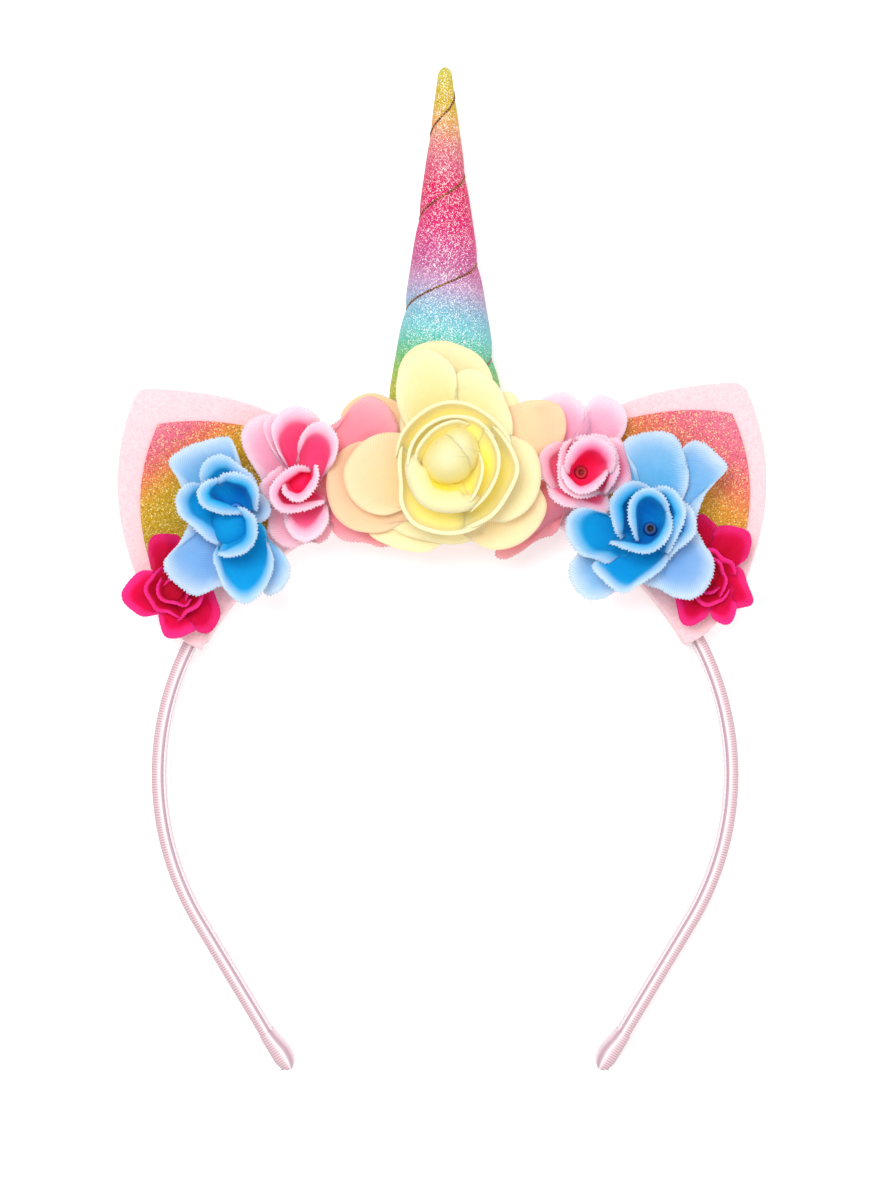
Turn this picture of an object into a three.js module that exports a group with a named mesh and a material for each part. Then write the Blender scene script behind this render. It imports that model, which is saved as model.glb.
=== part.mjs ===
// A dress-up headband: a ribbon-covered spring band whose crown wears a felt sleeve, two felt ears with
// glitter inner ears, a stuffed glitter horn bound with thread, and a garland of fabric roses on plastic pins.
//
// Millimetres. The headband lies on its back: X runs across the head, Y towards the horn's tip, Z up through
// the flowers. The model is drawn about the centre of the band's arch, with the floor at Z = 0, and is centred
// at the end.
import * as THREE from "three";

// Clearances and cloth
const GAP = 0.3; // between pieces that are glued, sewn or pushed together
const PETAL_WALL = 1.0;
const FELT_WALL = 1.5;

// Band: a half-hoop with straight legs that run in towards the neck
const BAND_RADIUS = 63.7; // centreline of the arch
const BAND_THICK = 3.0; // across the band, in the plane of the arch
const BAND_WIDTH = 7.0; // front to back
const BAND_CORNER = 1.3;
const BAND_MID_Z = 5.3; // centreline height inside the sleeve
const LEG_TURN = 31; // degrees that each leg turns in past the widest point
const LEG_LENGTH = 38.5; // straight run from the end of the arch to the tip
const LEG_MID_Z = 4.0; // centreline height at the tips, which rest on the floor
const TONGUE = { length: 10, thick: 2.0, width: 5.4, corner: 0.9 }; // the bare end inside each ribbon fold

// Ribbon folded over each tip
const FOLD = { length: 9.7, thick: 4.6, width: 8.0, corner: 1.6, inside: 8.9, insideCorner: 1.0 };

// Felt sleeve round the crown of the band, and the ears glued to its front
const SLEEVE_START = 28.5; // degrees above the horizontal
const EAR_TOP = 70; // degrees above the horizontal where an ear leaves the sleeve
const SLEEVE_HALF = BAND_THICK / 2 + GAP + FELT_WALL; // half its size across the band
const SLEEVE_DEPTH = BAND_WIDTH + 2 * (GAP + FELT_WALL);
const SLEEVE_CORNER = 1.8;
const EAR_BACK = SLEEVE_DEPTH + GAP;
const EAR_THICK = 2.0;
const EAR_FRONT = EAR_BACK + EAR_THICK;
const GLITTER_THICK = 1.0;
const GLITTER_FRONT = EAR_FRONT + GAP + GLITTER_THICK;
const LEFT_EAR = { turn: 1.2, innerDrop: 2.4 }; // glued a little lower on the sleeve than the right one

// Horn: a stuffed cone, pinched front to back where it is sewn to the sleeve
const HORN_BASE_Y = BAND_RADIUS + SLEEVE_HALF + GAP;
const HORN_TIP_Y = 156.6;
const HORN_BASE_RADIUS = 15.4;
const HORN_TIP_RADIUS = 1.8;
const HORN_NOSE = 0.02; // share of its length that is rounded off at the tip
const HORN_PINCH = { loss: 0.36, fade: 2.2 }; // share of its depth lost at the base, and how fast that fades
const HORN_AXIS_Z = 10.4;
// The thread's first turn drops 17 mm down the horn and each later one a little more
const THREAD = { top: 150.4, drop: 17, growth: 0.8, laps: 6, squeeze: 0.07, spread: 2.6 };

// Pins that carry the flowers: a blob of glue at the foot and a stem through every layer of petals
const PIN_RADIUS = 1.4;
const HOLE_RADIUS = PIN_RADIUS + GAP;
const PETAL_ROOT = 2; // least run of a petal past its hole
const PETAL_WEB = 3; // cloth left past the hole between petals

const COLOURS = {
  ribbon: 0xf3d3da,
  felt: 0xfbd0d4,
  glitter: 0xe8a23c,
  horn: 0xe8609a,
  cream: 0xfaf0b4,
  pink: 0xf9a8c4,
  blue: 0x6cb8f0,
  magenta: 0xd8105a,
  pin: 0x3a3436,
};

const degrees = THREE.MathUtils.degToRad;
const { lerp, smoothstep, clamp } = THREE.MathUtils;

/** Rows of numbers as objects, with one name for each column. */
function table(columns, rows) {
  const names = columns.split(" ");
  return rows.map((row) => Object.fromEntries(names.map((name, i) => [name, row[i]])));
}

function material(colour, roughness, metalness = 0) {
  return new THREE.MeshStandardMaterial({ color: colour, roughness, metalness });
}

function mesh(name, geometry, look) {
  const made = new THREE.Mesh(geometry, look);
  made.name = name;
  return made;
}

/** Six times the signed volume of an indexed triangle list. */
function signedVolume(points, index) {
  let sum = 0;
  for (let i = 0; i < index.length; i += 3) {
    const [a, b, c] = [points[index[i]], points[index[i + 1]], points[index[i + 2]]];
    sum += a.dot(new THREE.Vector3().crossVectors(b, c));
  }
  return sum;
}

/**
 * A closed solid through loops of points, each with the same even count. With ring, the last loop joins the
 * first. Otherwise both end loops are capped by rungs from one half of the loop to the other.
 */
function solidThrough(loops, ring) {
  const n = loops[0].length;
  const points = loops.flat();
  const index = [];
  const at = (i, j) => (i % loops.length) * n + (j % n);
  const quad = (a, b, c, d) => index.push(a, b, c, a, c, d);
  const steps = ring ? loops.length : loops.length - 1;
  for (let i = 0; i < steps; i++)
    for (let j = 0; j < n; j++) quad(at(i, j), at(i + 1, j), at(i + 1, j + 1), at(i, j + 1));
  if (!ring) {
    const last = loops.length - 1;
    for (let j = 0; j < n / 2 - 1; j++) {
      quad(at(0, j), at(0, j + 1), at(0, n - 2 - j), at(0, n - 1 - j));
      quad(at(last, n - 1 - j), at(last, n - 2 - j), at(last, j + 1), at(last, j));
    }
  }
  if (signedVolume(points, index) < 0) index.reverse();
  const geometry = new THREE.BufferGeometry().setFromPoints(points).setIndex(index);
  geometry.computeVertexNormals();
  return geometry;
}

/** Corner-rounded rectangle about the origin as [across, up] pairs, with three points on each corner. */
function roundedLoop(width, height, corner) {
  const loop = [];
  for (const quarter of [0, 1, 2, 3])
    for (const part of [0, 0.5, 1]) {
      const angle = degrees(90 * (quarter + part));
      const right = quarter === 0 || quarter === 3 ? 1 : -1;
      const top = quarter < 2 ? 1 : -1;
      loop.push([
        right * (width / 2 - corner) + corner * Math.cos(angle),
        top * (height / 2 - corner) + corner * Math.sin(angle),
      ]);
    }
  return loop;
}

// Band

/** Centreline of one half of the band at a distance from the crown: the point and the outward direction. */
function bandAt(distance, side) {
  const arch = BAND_RADIUS * degrees(90 + LEG_TURN);
  const angle = Math.PI / 2 - Math.min(distance, arch) / BAND_RADIUS;
  const out = new THREE.Vector2(side * Math.cos(angle), Math.sin(angle));
  const past = Math.max(distance - arch, 0);
  const along = new THREE.Vector2(side * Math.sin(angle), -Math.cos(angle));
  const sleeved = BAND_RADIUS * degrees(90 - SLEEVE_START);
  const drop = smoothstep(distance, sleeved, arch + LEG_LENGTH - FOLD.length);
  return {
    x: out.x * BAND_RADIUS + along.x * past,
    y: out.y * BAND_RADIUS + along.y * past,
    z: lerp(BAND_MID_Z, LEG_MID_Z, drop),
    out,
  };
}

/** A loop of the band's section, set square to its centreline. */
function bandLoop(distance, side, thick, width, corner) {
  const centre = bandAt(distance, side);
  return roundedLoop(thick, width, corner).map(
    ([across, up]) =>
      new THREE.Vector3(centre.x + centre.out.x * across, centre.y + centre.out.y * across, centre.z + up),
  );
}

const HALF_BAND = BAND_RADIUS * degrees(90 + LEG_TURN) + LEG_LENGTH;

function band() {
  const shoulder = HALF_BAND - TONGUE.length;
  const archSteps = 22;
  const half = (side) => {
    const loops = [];
    for (let i = 1; i <= archSteps; i++)
      loops.push(bandLoop((shoulder * i) / archSteps, side, BAND_THICK, BAND_WIDTH, BAND_CORNER));
    for (const distance of [shoulder, HALF_BAND - FOLD.length + FOLD.inside - GAP])
      loops.push(bandLoop(distance, side, TONGUE.thick, TONGUE.width, TONGUE.corner));
    return loops;
  };
  const crown = bandLoop(0, 1, BAND_THICK, BAND_WIDTH, BAND_CORNER);
  return solidThrough([...half(-1).reverse(), crown, ...half(1)], false);
}

/** The ribbon folded over a tip: a pouch, from the bottom of its inside, out of its mouth and round it. */
function ribbonFold(side) {
  const mouth = HALF_BAND - FOLD.length;
  const loops = [];
  const inside = [TONGUE.thick + 2 * GAP, TONGUE.width + 2 * GAP, FOLD.insideCorner];
  for (const distance of [mouth + FOLD.inside, mouth]) loops.push(bandLoop(distance, side, ...inside));
  const outside = table("along share", [
    [0, 0.93],
    [0.12, 1],
    [0.62, 1],
    [0.88, 0.86],
    [1, 0.5],
  ]);
  for (const { along, share } of outside) {
    const size = [FOLD.thick * share, FOLD.width, FOLD.corner * share];
    loops.push(bandLoop(mouth + FOLD.length * along, side, ...size));
  }
  return solidThrough(loops, false);
}

// Felt

/** The felt wrapped round the crown of the band, open at both ends. */
function sleeve() {
  const steps = 14;
  const loopAt = (degreesUp, width, depth, corner) => {
    const angle = degrees(degreesUp);
    return roundedLoop(width, depth, corner).map(([across, up]) => {
      const r = BAND_RADIUS + across;
      return new THREE.Vector3(r * Math.cos(angle), r * Math.sin(angle), SLEEVE_DEPTH / 2 + up);
    });
  };
  const angleAt = (i) => lerp(SLEEVE_START, 180 - SLEEVE_START, i / steps);
  const angles = Array.from({ length: steps + 1 }, (_, i) => angleAt(i));
  const outer = angles.map((a) => loopAt(a, 2 * SLEEVE_HALF, SLEEVE_DEPTH, SLEEVE_CORNER));
  const inner = angles.map((a) => loopAt(a, BAND_THICK + 2 * GAP, BAND_WIDTH + 2 * GAP, BAND_CORNER));
  return solidThrough([...outer, ...inner.reverse()], true);
}

/** A flat cut-out between two heights. */
function cutOut(shape, back, thick) {
  const geometry = new THREE.ExtrudeGeometry(shape, { depth: thick, bevelEnabled: false, curveSegments: 7 });
  return geometry.translate(0, 0, back);
}

/** An ear, drawn on the right and mirrored for the left: it covers the sleeve's front and points up and out. */
function earShape(side) {
  const inside = BAND_RADIUS - SLEEVE_HALF;
  const shape = new THREE.Shape();
  const start = degrees(SLEEVE_START);
  const end = degrees(EAR_TOP);
  const onArc = (r, angle) => [side * r * Math.cos(angle), r * Math.sin(angle)];
  shape.moveTo(...onArc(inside, end));
  const turn = side > 0 ? [end, start, true] : [Math.PI - end, Math.PI - start, false];
  shape.absarc(0, 0, inside, ...turn);
  shape.lineTo(side * 56.2, 30.4);
  shape.quadraticCurveTo(side * 64.5, 36.5, side * 67.6, 46.5);
  shape.quadraticCurveTo(side * 74.6, 66.5, side * 66.9, 84.6);
  shape.quadraticCurveTo(side * 66.0, 86.8, side * 63.4, 86.9);
  shape.quadraticCurveTo(side * 45.5, 85.8, side * 36.0, 80.6);
  shape.quadraticCurveTo(side * 28.5, 76.4, ...onArc(BAND_RADIUS + SLEEVE_HALF, end));
  shape.closePath();
  return shape;
}

function innerEarShape(side) {
  const shape = new THREE.Shape();
  shape.moveTo(side * 63.2, 79.9);
  shape.quadraticCurveTo(side * 52, 81.9, side * 39, 78.4);
  shape.lineTo(side * 36, 62);
  shape.lineTo(side * 43, 50.5);
  shape.quadraticCurveTo(side * 54, 48.6, side * 64.9, 49.2);
  shape.quadraticCurveTo(side * 70, 65, side * 63.2, 79.9);
  return shape;
}

// Horn

/** How tightly the thread holds the horn at a height and an angle round it, from 0 to 1. */
function threadGrip(y, turn) {
  let nearest = Infinity;
  for (let lap = -1; lap < THREAD.laps; lap++) {
    const n = lap + turn;
    nearest = Math.min(nearest, Math.abs(y - (THREAD.top - THREAD.drop * n - THREAD.growth * n * n)));
  }
  return Math.exp(-((nearest / THREAD.spread) ** 2));
}

function horn() {
  const rings = 40;
  const sides = 20;
  const bluntest = 0.94; // leaves a small flat at the very tip
  const loops = [];
  for (let i = 0; i <= rings; i++) {
    const share = i / rings;
    const y = lerp(HORN_BASE_Y, HORN_TIP_Y, share);
    const rounding = clamp((share - 1) / HORN_NOSE + 1, 0, bluntest);
    const nose = Math.sqrt(1 - rounding ** 2);
    const radius = lerp(HORN_BASE_RADIUS, HORN_TIP_RADIUS, share) * nose;
    const depth = 1 - HORN_PINCH.loss * (1 - share) ** HORN_PINCH.fade;
    const loop = [];
    for (let j = 0; j < sides; j++) {
      const turn = j / sides;
      const r = radius * (1 - THREAD.squeeze * threadGrip(y, turn));
      const angle = 2 * Math.PI * turn;
      loop.push(new THREE.Vector3(r * Math.cos(angle), y, HORN_AXIS_Z + r * depth * Math.sin(angle)));
    }
    loops.push(loop);
  }
  return solidThrough(loops, false);
}

// Flowers

/**
 * One strip of a petal, from the pin to the rim, in the plane of the pin and the strip's azimuth: an arc that
 * starts at elevation base and ends at elevation tip, with a horizontal run from start to reach.
 */
function petalLoop({ azimuth, start, reach, base, tip, height }, rows) {
  const [a, b] = [degrees(base), degrees(tip)];
  const radius = (reach - start) / (Math.sin(b) - Math.sin(a));
  const side = (t, offset) => {
    const slope = lerp(a, b, t);
    const r = start + radius * (Math.sin(slope) - Math.sin(a)) - offset * Math.sin(slope);
    const h = height + radius * (Math.cos(a) - Math.cos(slope)) + offset * Math.cos(slope);
    return new THREE.Vector3(r * Math.cos(degrees(azimuth)), r * Math.sin(degrees(azimuth)), h);
  };
  const steps = Array.from({ length: rows + 1 }, (_, i) => i / rows);
  const front = steps.map((t) => side(t, PETAL_WALL / 2));
  const back = steps.map((t) => side(t, -PETAL_WALL / 2));
  return [...front, ...back.reverse()];
}

/** Share of a petal's reach at a place across it, from -1 to 1: full in the middle and notched at the sides. */
function petalOutline(across, notch) {
  return notch + (1 - notch) * Math.sqrt(Math.max(0, 1 - Math.abs(across) ** 3));
}

/** Radius at which the middle of a petal wall starts, so that its inner edge clears the pin. */
function startRadius(base) {
  return HOLE_RADIUS + (PETAL_WALL / 2) * Math.sin(degrees(base));
}

/** A stamped layer of petals round the pin. Between petals the cloth keeps to the notch's radius. */
function whorl({ height, base, notch, petals }) {
  const cupped = notch > 0.5;
  const places = cupped ? [-1, -0.7, 0, 0.7, 1] : [-1, -0.88, -0.52, 0, 0.52, 0.88, 1];
  const widest = 30; // degrees between strips where there is no petal
  const strips = [];
  const sorted = [...petals].sort((p, q) => p.azimuth - q.azimuth);
  sorted.forEach((petal, i) => {
    for (const across of places)
      strips.push({
        azimuth: petal.azimuth + across * petal.half,
        reach: Math.max(petal.reach * petalOutline(across, notch), HOLE_RADIUS + PETAL_ROOT),
        tip: petal.tip,
      });
    const next = sorted[(i + 1) % sorted.length];
    const from = petal.azimuth + petal.half;
    const to = next.azimuth - next.half + (i + 1 === sorted.length ? 360 : 0);
    const fill = Math.floor((to - from) / widest);
    for (let k = 1; k <= fill; k++)
      strips.push({
        azimuth: lerp(from, to, k / (fill + 1)),
        reach: HOLE_RADIUS + PETAL_WEB,
        tip: petal.tip,
      });
  });
  const start = startRadius(base);
  const rows = cupped ? 3 : 2;
  const loops = strips.map((strip) => petalLoop({ ...strip, start, base, height }, rows));
  return solidThrough(loops, true);
}

/** A petal rolled round the pin, overlapping itself: its radius grows with every turn. */
function rolled({ height, base, tip, reach, turns, from, growth }) {
  const steps = Math.ceil(turns * 11);
  const loops = Array.from({ length: steps + 1 }, (_, i) => {
    const wound = (turns * i) / steps;
    return petalLoop(
      {
        azimuth: from + 360 * wound,
        start: startRadius(base) + growth * wound,
        reach: reach + growth * (wound - turns),
        base,
        tip,
        height,
      },
      3,
    );
  });
  return solidThrough(loops, false);
}

/** The pin: a round foot about the origin and a stem up to the given height. */
function pin(foot, top) {
  const profile = [];
  for (const angle of [-90, -45, 0]) {
    const turned = degrees(angle);
    profile.push(new THREE.Vector2(foot * Math.cos(turned), foot * Math.sin(turned)));
  }
  const shoulder = Math.sqrt(foot ** 2 - PIN_RADIUS ** 2);
  profile.push(new THREE.Vector2(PIN_RADIUS, shoulder));
  profile.push(new THREE.Vector2(PIN_RADIUS, top), new THREE.Vector2(0, top));
  profile[0].x = 0;
  return new THREE.LatheGeometry(profile, 10).rotateX(Math.PI / 2);
}

const PETALS = "azimuth half reach tip";

const ROLLED = "height base tip reach turns from growth";

// A flower's place is its pin's foot, in the drawing's frame. Lean tips its axis to the right and to the top,
// in degrees. Layers run from the back to the front: heights are along the axis, and base is the elevation at
// the pin. A rolled layer has a row of its own, with the columns of ROLLED.
const FLOWERS = [
  {
    name: "cream_rose",
    at: [2.0, 63.7],
    seat: SLEEVE_DEPTH,
    foot: 2.2,
    lean: [1, 6],
    top: 18.4,
    layers: [
      {
        name: "back_petals",
        colour: "cream",
        height: 8.5,
        base: 12,
        notch: 0.34,
        petals: table(PETALS, [
          [28, 25, 24.4, -12],
          [62, 14, 19.5, -4],
          [138, 24, 25.4, -8],
          [196, 24, 19, -4],
          [262, 30, 16, -4],
          [318, 26, 17, -4],
        ]),
      },
      {
        name: "outer_petals",
        colour: "cream",
        height: 10.0,
        base: 22,
        notch: 0.34,
        petals: table(PETALS, [
          [34, 28, 17, 0],
          [97, 27, 29.2, -4],
          [152, 24, 16, 0],
          [192, 24, 26.8, -8],
          [250, 27, 18.1, -10],
          [314, 28, 21.8, -8],
        ]),
      },
      {
        name: "middle_petals",
        colour: "cream",
        height: 11.7,
        base: 30,
        notch: 0.36,
        petals: table(PETALS, [
          [12, 28, 18.6, 2],
          [64, 24, 22.2, 2],
          [108, 19, 26.6, 0],
          [183, 25, 24.6, -2],
          [236, 26, 16.4, 0],
          [292, 27, 16.2, 2],
        ]),
      },
      {
        name: "cup",
        colour: "cream",
        height: 13.5,
        base: 18,
        notch: 0.86,
        petals: table(PETALS, [
          [88, 58, 14.2, 70],
          [208, 58, 14.0, 72],
          [326, 56, 14.4, 68],
        ]),
      },
      { name: "roll", colour: "cream", ...table(ROLLED, [[16.2, 34, 80, 10.4, 1.3, 150, 1.9]])[0] },
      { name: "bud", colour: "cream", ...table(ROLLED, [[19.0, 20, 105, 5.4, 1.1, 20, 1.5]])[0] },
    ],
  },
  {
    name: "pink_rose_left",
    at: [-31.0, 63.8],
    seat: EAR_FRONT,
    foot: 2.2,
    lean: [0, 0],
    top: 7.5,
    layers: [
      {
        name: "back_petals",
        colour: "pink",
        height: 2.9,
        base: 10,
        notch: 0.36,
        petals: table(PETALS, [
          [50, 22, 24.6, 25],
          [112, 20, 17.2, 0],
          [150, 18, 17.0, -2],
          [196, 24, 9.7, -2],
          [243, 22, 13.4, -2],
          [290, 20, 12.0, -2],
          [325, 17, 22.0, -2],
        ]),
      },
      {
        name: "middle_petals",
        colour: "pink",
        height: 4.7,
        base: 26,
        notch: 0.4,
        petals: table(PETALS, [
          [34, 26, 16.0, 12],
          [99, 26, 16.6, 4],
          [190, 30, 9.2, 8],
          [268, 32, 12.8, 4],
        ]),
      },
      {
        name: "cup",
        colour: "pink",
        height: 6.5,
        base: 25,
        notch: 0.84,
        petals: table(PETALS, [
          [70, 56, 6.8, 68],
          [190, 58, 7.2, 64],
          [310, 58, 6.8, 68],
        ]),
      },
      { name: "heart", colour: "pink", ...table(ROLLED, [[9.5, 58, 86, 4.6, 1.1, 40, 1.5]])[0] },
    ],
  },
  {
    name: "pink_rose_right",
    at: [28.6, 66.0],
    seat: EAR_FRONT,
    foot: 2.2,
    lean: [8, 5],
    top: 7.5,
    layers: [
      {
        name: "back_petals",
        colour: "pink",
        height: 2.9,
        base: 10,
        notch: 0.36,
        petals: table(PETALS, [
          [18, 24, 9.0, 2],
          [64, 19, 20.6, 6],
          [102, 18, 18.8, 2],
          [172, 24, 6.4, 0],
          [228, 26, 22.6, -22],
          [296, 26, 10.0, 0],
        ]),
      },
      {
        name: "middle_petals",
        colour: "pink",
        height: 4.4,
        base: 26,
        notch: 0.4,
        petals: table(PETALS, [
          [10, 32, 11.6, 10],
          [78, 32, 10.4, 8],
          [166, 34, 7.6, 12],
          [242, 32, 9.4, 4],
          [304, 26, 10.0, 4],
        ]),
      },
      {
        name: "cup",
        colour: "pink",
        height: 6.2,
        base: 25,
        notch: 0.84,
        petals: table(PETALS, [
          [40, 58, 7.6, 62],
          [160, 58, 7.2, 64],
          [280, 56, 7.4, 62],
        ]),
      },
      { name: "heart", colour: "pink", ...table(ROLLED, [[9.1, 56, 86, 5.0, 1.1, 250, 1.5]])[0] },
    ],
  },
  {
    name: "blue_rose_left",
    at: [-45.2, 58.4],
    seat: GLITTER_FRONT,
    foot: 2.2,
    lean: [0, 0],
    top: 10.5,
    layers: [
      {
        name: "back_petals",
        colour: "blue",
        height: 5.2,
        base: 14,
        notch: 0.36,
        petals: table(PETALS, [
          [112, 26, 17.6, 2],
          [172, 22, 11.0, 2],
          [226, 25, 19.0, 4],
          [303, 20, 20.0, 0],
          [352, 20, 6.5, 4],
        ]),
      },
      {
        name: "middle_petals",
        colour: "blue",
        height: 6.8,
        base: 28,
        notch: 0.4,
        petals: table(PETALS, [
          [30, 30, 7.2, 20],
          [100, 32, 12.4, 8],
          [176, 32, 12.4, 8],
          [272, 30, 19.0, 0],
        ]),
      },
      {
        name: "cup",
        colour: "blue",
        height: 8.7,
        base: 26,
        notch: 0.84,
        petals: table(PETALS, [
          [60, 58, 7.2, 70],
          [180, 58, 8.0, 66],
          [300, 58, 7.8, 68],
        ]),
      },
      { name: "heart", colour: "blue", ...table(ROLLED, [[11.7, 58, 86, 5.3, 1.1, 300, 1.6]])[0] },
    ],
  },
  {
    name: "blue_rose_right",
    at: [44.4, 53.4],
    seat: GLITTER_FRONT,
    foot: 2.2,
    lean: [0, 5],
    top: 10.5,
    layers: [
      {
        name: "back_petals",
        colour: "blue",
        height: 5.2,
        base: 14,
        notch: 0.36,
        petals: table(PETALS, [
          [52, 20, 22.6, 2],
          [96, 22, 20.8, 2],
          [186, 20, 12.0, 2],
          [222, 18, 20.4, 2],
          [316, 28, 18.6, 4],
        ]),
      },
      {
        name: "middle_petals",
        colour: "blue",
        height: 6.8,
        base: 28,
        notch: 0.4,
        petals: table(PETALS, [
          [28, 32, 13.0, 10],
          [96, 30, 8.6, 20],
          [184, 30, 17.0, 4],
          [262, 32, 13.4, 4],
          [320, 24, 12.0, 6],
        ]),
      },
      {
        name: "cup",
        colour: "blue",
        height: 8.7,
        base: 26,
        notch: 0.84,
        petals: table(PETALS, [
          [80, 58, 8.4, 64],
          [200, 58, 8.0, 66],
          [320, 58, 8.2, 64],
        ]),
      },
      { name: "heart", colour: "blue", ...table(ROLLED, [[11.7, 56, 86, 5.7, 1.1, 210, 1.6]])[0] },
    ],
  },
  {
    name: "magenta_rose_left",
    at: [-59.0, 40.6],
    seat: EAR_FRONT,
    foot: 1.7,
    lean: [0, 0],
    top: 5.4,
    layers: [
      {
        name: "back_petals",
        colour: "magenta",
        height: 2.1,
        base: 8,
        notch: 0.36,
        petals: table(PETALS, [
          [40, 22, 9.0, 0],
          [100, 26, 12.8, 0],
          [184, 34, 11.4, 0],
          [262, 30, 10.2, 0],
          [328, 28, 10.0, 0],
        ]),
      },
      {
        name: "cup",
        colour: "magenta",
        height: 3.6,
        base: 24,
        notch: 0.6,
        petals: table(PETALS, [
          [60, 50, 6.0, 30],
          [170, 52, 6.4, 40],
          [290, 52, 6.4, 36],
        ]),
      },
      { name: "heart", colour: "magenta", ...table(ROLLED, [[6.0, 48, 82, 4.1, 1.0, 120, 1.4]])[0] },
    ],
  },
  {
    name: "magenta_rose_right",
    at: [57.4, 44.0],
    seat: EAR_FRONT,
    foot: 1.7,
    lean: [0, 0],
    top: 5.4,
    layers: [
      {
        name: "back_petals",
        colour: "magenta",
        height: 2.1,
        base: 8,
        notch: 0.36,
        petals: table(PETALS, [
          [52, 26, 12.0, 0],
          [102, 20, 12.4, 0],
          [194, 22, 12.8, 0],
          [242, 22, 11.8, 0],
          [290, 22, 11.6, 0],
          [343, 26, 10.2, 0],
        ]),
      },
      {
        name: "cup",
        colour: "magenta",
        height: 3.6,
        base: 24,
        notch: 0.6,
        petals: table(PETALS, [
          [50, 50, 6.0, 36],
          [170, 52, 6.2, 36],
          [290, 52, 6.4, 34],
        ]),
      },
      { name: "heart", colour: "magenta", ...table(ROLLED, [[6.0, 48, 82, 4.1, 1.0, 20, 1.4]])[0] },
    ],
  },
];

function flower({ name, at, seat, foot, lean, top, layers }) {
  const group = new THREE.Group();
  group.position.set(at[0], at[1], seat + GAP + foot);
  group.rotation.set(degrees(-lean[1]), degrees(lean[0]), 0);
  group.add(mesh(`${name}_pin`, pin(foot, top), material(COLOURS.pin, 0.6)));
  for (const layer of layers) {
    const geometry = layer.petals ? whorl(layer) : rolled(layer);
    group.add(mesh(`${name}_${layer.name}`, geometry, material(COLOURS[layer.colour], 0.75)));
  }
  return group;
}

// Assembly

const headband = new THREE.Group();
const ribbonLook = material(COLOURS.ribbon, 0.4);
const feltLook = material(COLOURS.felt, 0.95);
const glitterLook = material(COLOURS.glitter, 0.45, 0.3);
headband.add(mesh("band", band(), ribbonLook));
headband.add(mesh("felt_sleeve", sleeve(), feltLook));
for (const [side, hand] of [
  [-1, "left"],
  [1, "right"],
]) {
  headband.add(mesh(`ribbon_fold_${hand}`, ribbonFold(side), ribbonLook));
  const ear = mesh(`felt_ear_${hand}`, cutOut(earShape(side), EAR_BACK, EAR_THICK), feltLook);
  const innerCut = cutOut(innerEarShape(side), EAR_FRONT + GAP, GLITTER_THICK);
  const innerEar = mesh(`inner_ear_${hand}`, innerCut, glitterLook);
  if (hand === "left") {
    ear.rotation.z = degrees(LEFT_EAR.turn);
    innerEar.position.y = -LEFT_EAR.innerDrop;
  }
  headband.add(ear, innerEar);
}
headband.add(mesh("horn", horn(), material(COLOURS.horn, 0.45, 0.3)));
for (const row of FLOWERS) headband.add(flower(row));

// The origin is under the middle of the whole object, on the floor that it lies on.
const box = new THREE.Box3().setFromObject(headband, true);
const middle = box.getCenter(new THREE.Vector3());
headband.position.set(-middle.x, -middle.y, 0);

export default headband;
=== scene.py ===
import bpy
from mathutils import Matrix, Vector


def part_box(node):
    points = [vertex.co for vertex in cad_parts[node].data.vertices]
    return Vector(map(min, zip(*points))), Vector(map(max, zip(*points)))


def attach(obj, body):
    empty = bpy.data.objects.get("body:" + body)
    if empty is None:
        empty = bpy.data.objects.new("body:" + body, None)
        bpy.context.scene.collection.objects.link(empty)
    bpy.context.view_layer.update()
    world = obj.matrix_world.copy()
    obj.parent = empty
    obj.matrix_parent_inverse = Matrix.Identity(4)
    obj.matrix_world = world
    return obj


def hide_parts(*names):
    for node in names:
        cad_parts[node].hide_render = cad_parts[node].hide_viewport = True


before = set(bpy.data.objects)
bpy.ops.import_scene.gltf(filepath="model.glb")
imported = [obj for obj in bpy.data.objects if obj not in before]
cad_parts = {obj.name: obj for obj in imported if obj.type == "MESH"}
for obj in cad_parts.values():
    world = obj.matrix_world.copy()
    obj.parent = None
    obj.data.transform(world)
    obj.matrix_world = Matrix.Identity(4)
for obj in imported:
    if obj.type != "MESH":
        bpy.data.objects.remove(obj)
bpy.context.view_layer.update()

import math
import zlib

import bpy
import numpy as np
from mathutils import Matrix

MM = 0.001
FULL_TURN = 2 * math.pi
PHASES = 6.28  # random phases are drawn from about a full turn
HANDS = ((-1, "left"), (1, "right"))

# Clearances and cloth
GAP = 0.3
PETAL_WALL = 0.22
FELT_WALL = 1.5

# Band, and the ribs of its ribbon
BAND_RADIUS = 63.7
BAND_THICK = 3.0
BAND_WIDTH = 7.0
BAND_CORNER = 1.3
BAND_MID_Z = 5.3
BAND_TUCK = 1.0
LEG_TURN = math.radians(31)
LEG_LENGTH = 38.5
LEG_MID_Z = 4.0
ARCH_LENGTH = BAND_RADIUS * (math.pi / 2 + LEG_TURN)
HALF_BAND = ARCH_LENGTH + LEG_LENGTH
CORNER_POINTS = 5
RIB_PITCH = 0.56
RIB_HEIGHT = 0.05
RIB_STEPS = 4
RIBBON_EDGE = dict(turn=math.radians(24), radius=0.26, swell=0.05, tuck=0.5, sides=8, steps=1201)
# The woven edge's colour: its place on the ribbon's painted shade across the band and along the ribs, and
# its share of the pale seam colour
EDGE_SHADE = dict(rib=0.8, across=0.1, seam=0.75)

# The ribbon's fold over each tip: its sizes outside and inside, then where it is fully swollen and where its
# nose starts as shares of its length, its lean inwards, and its flat cloth as shares of its girth and length
FOLD = dict(
    length=9.7, thick=4.3, mouth_thick=3.3, width=8.0, corner_share=0.36,
    inside=8.9, inner_thick=2.6, inner_width=6.0, inner_corner=1.0,
    swollen=0.6, nose=0.62, lean=0.45, girth=0.85, ease=1.05,
)
FOLD_MOUTH = HALF_BAND - FOLD["length"]

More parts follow.
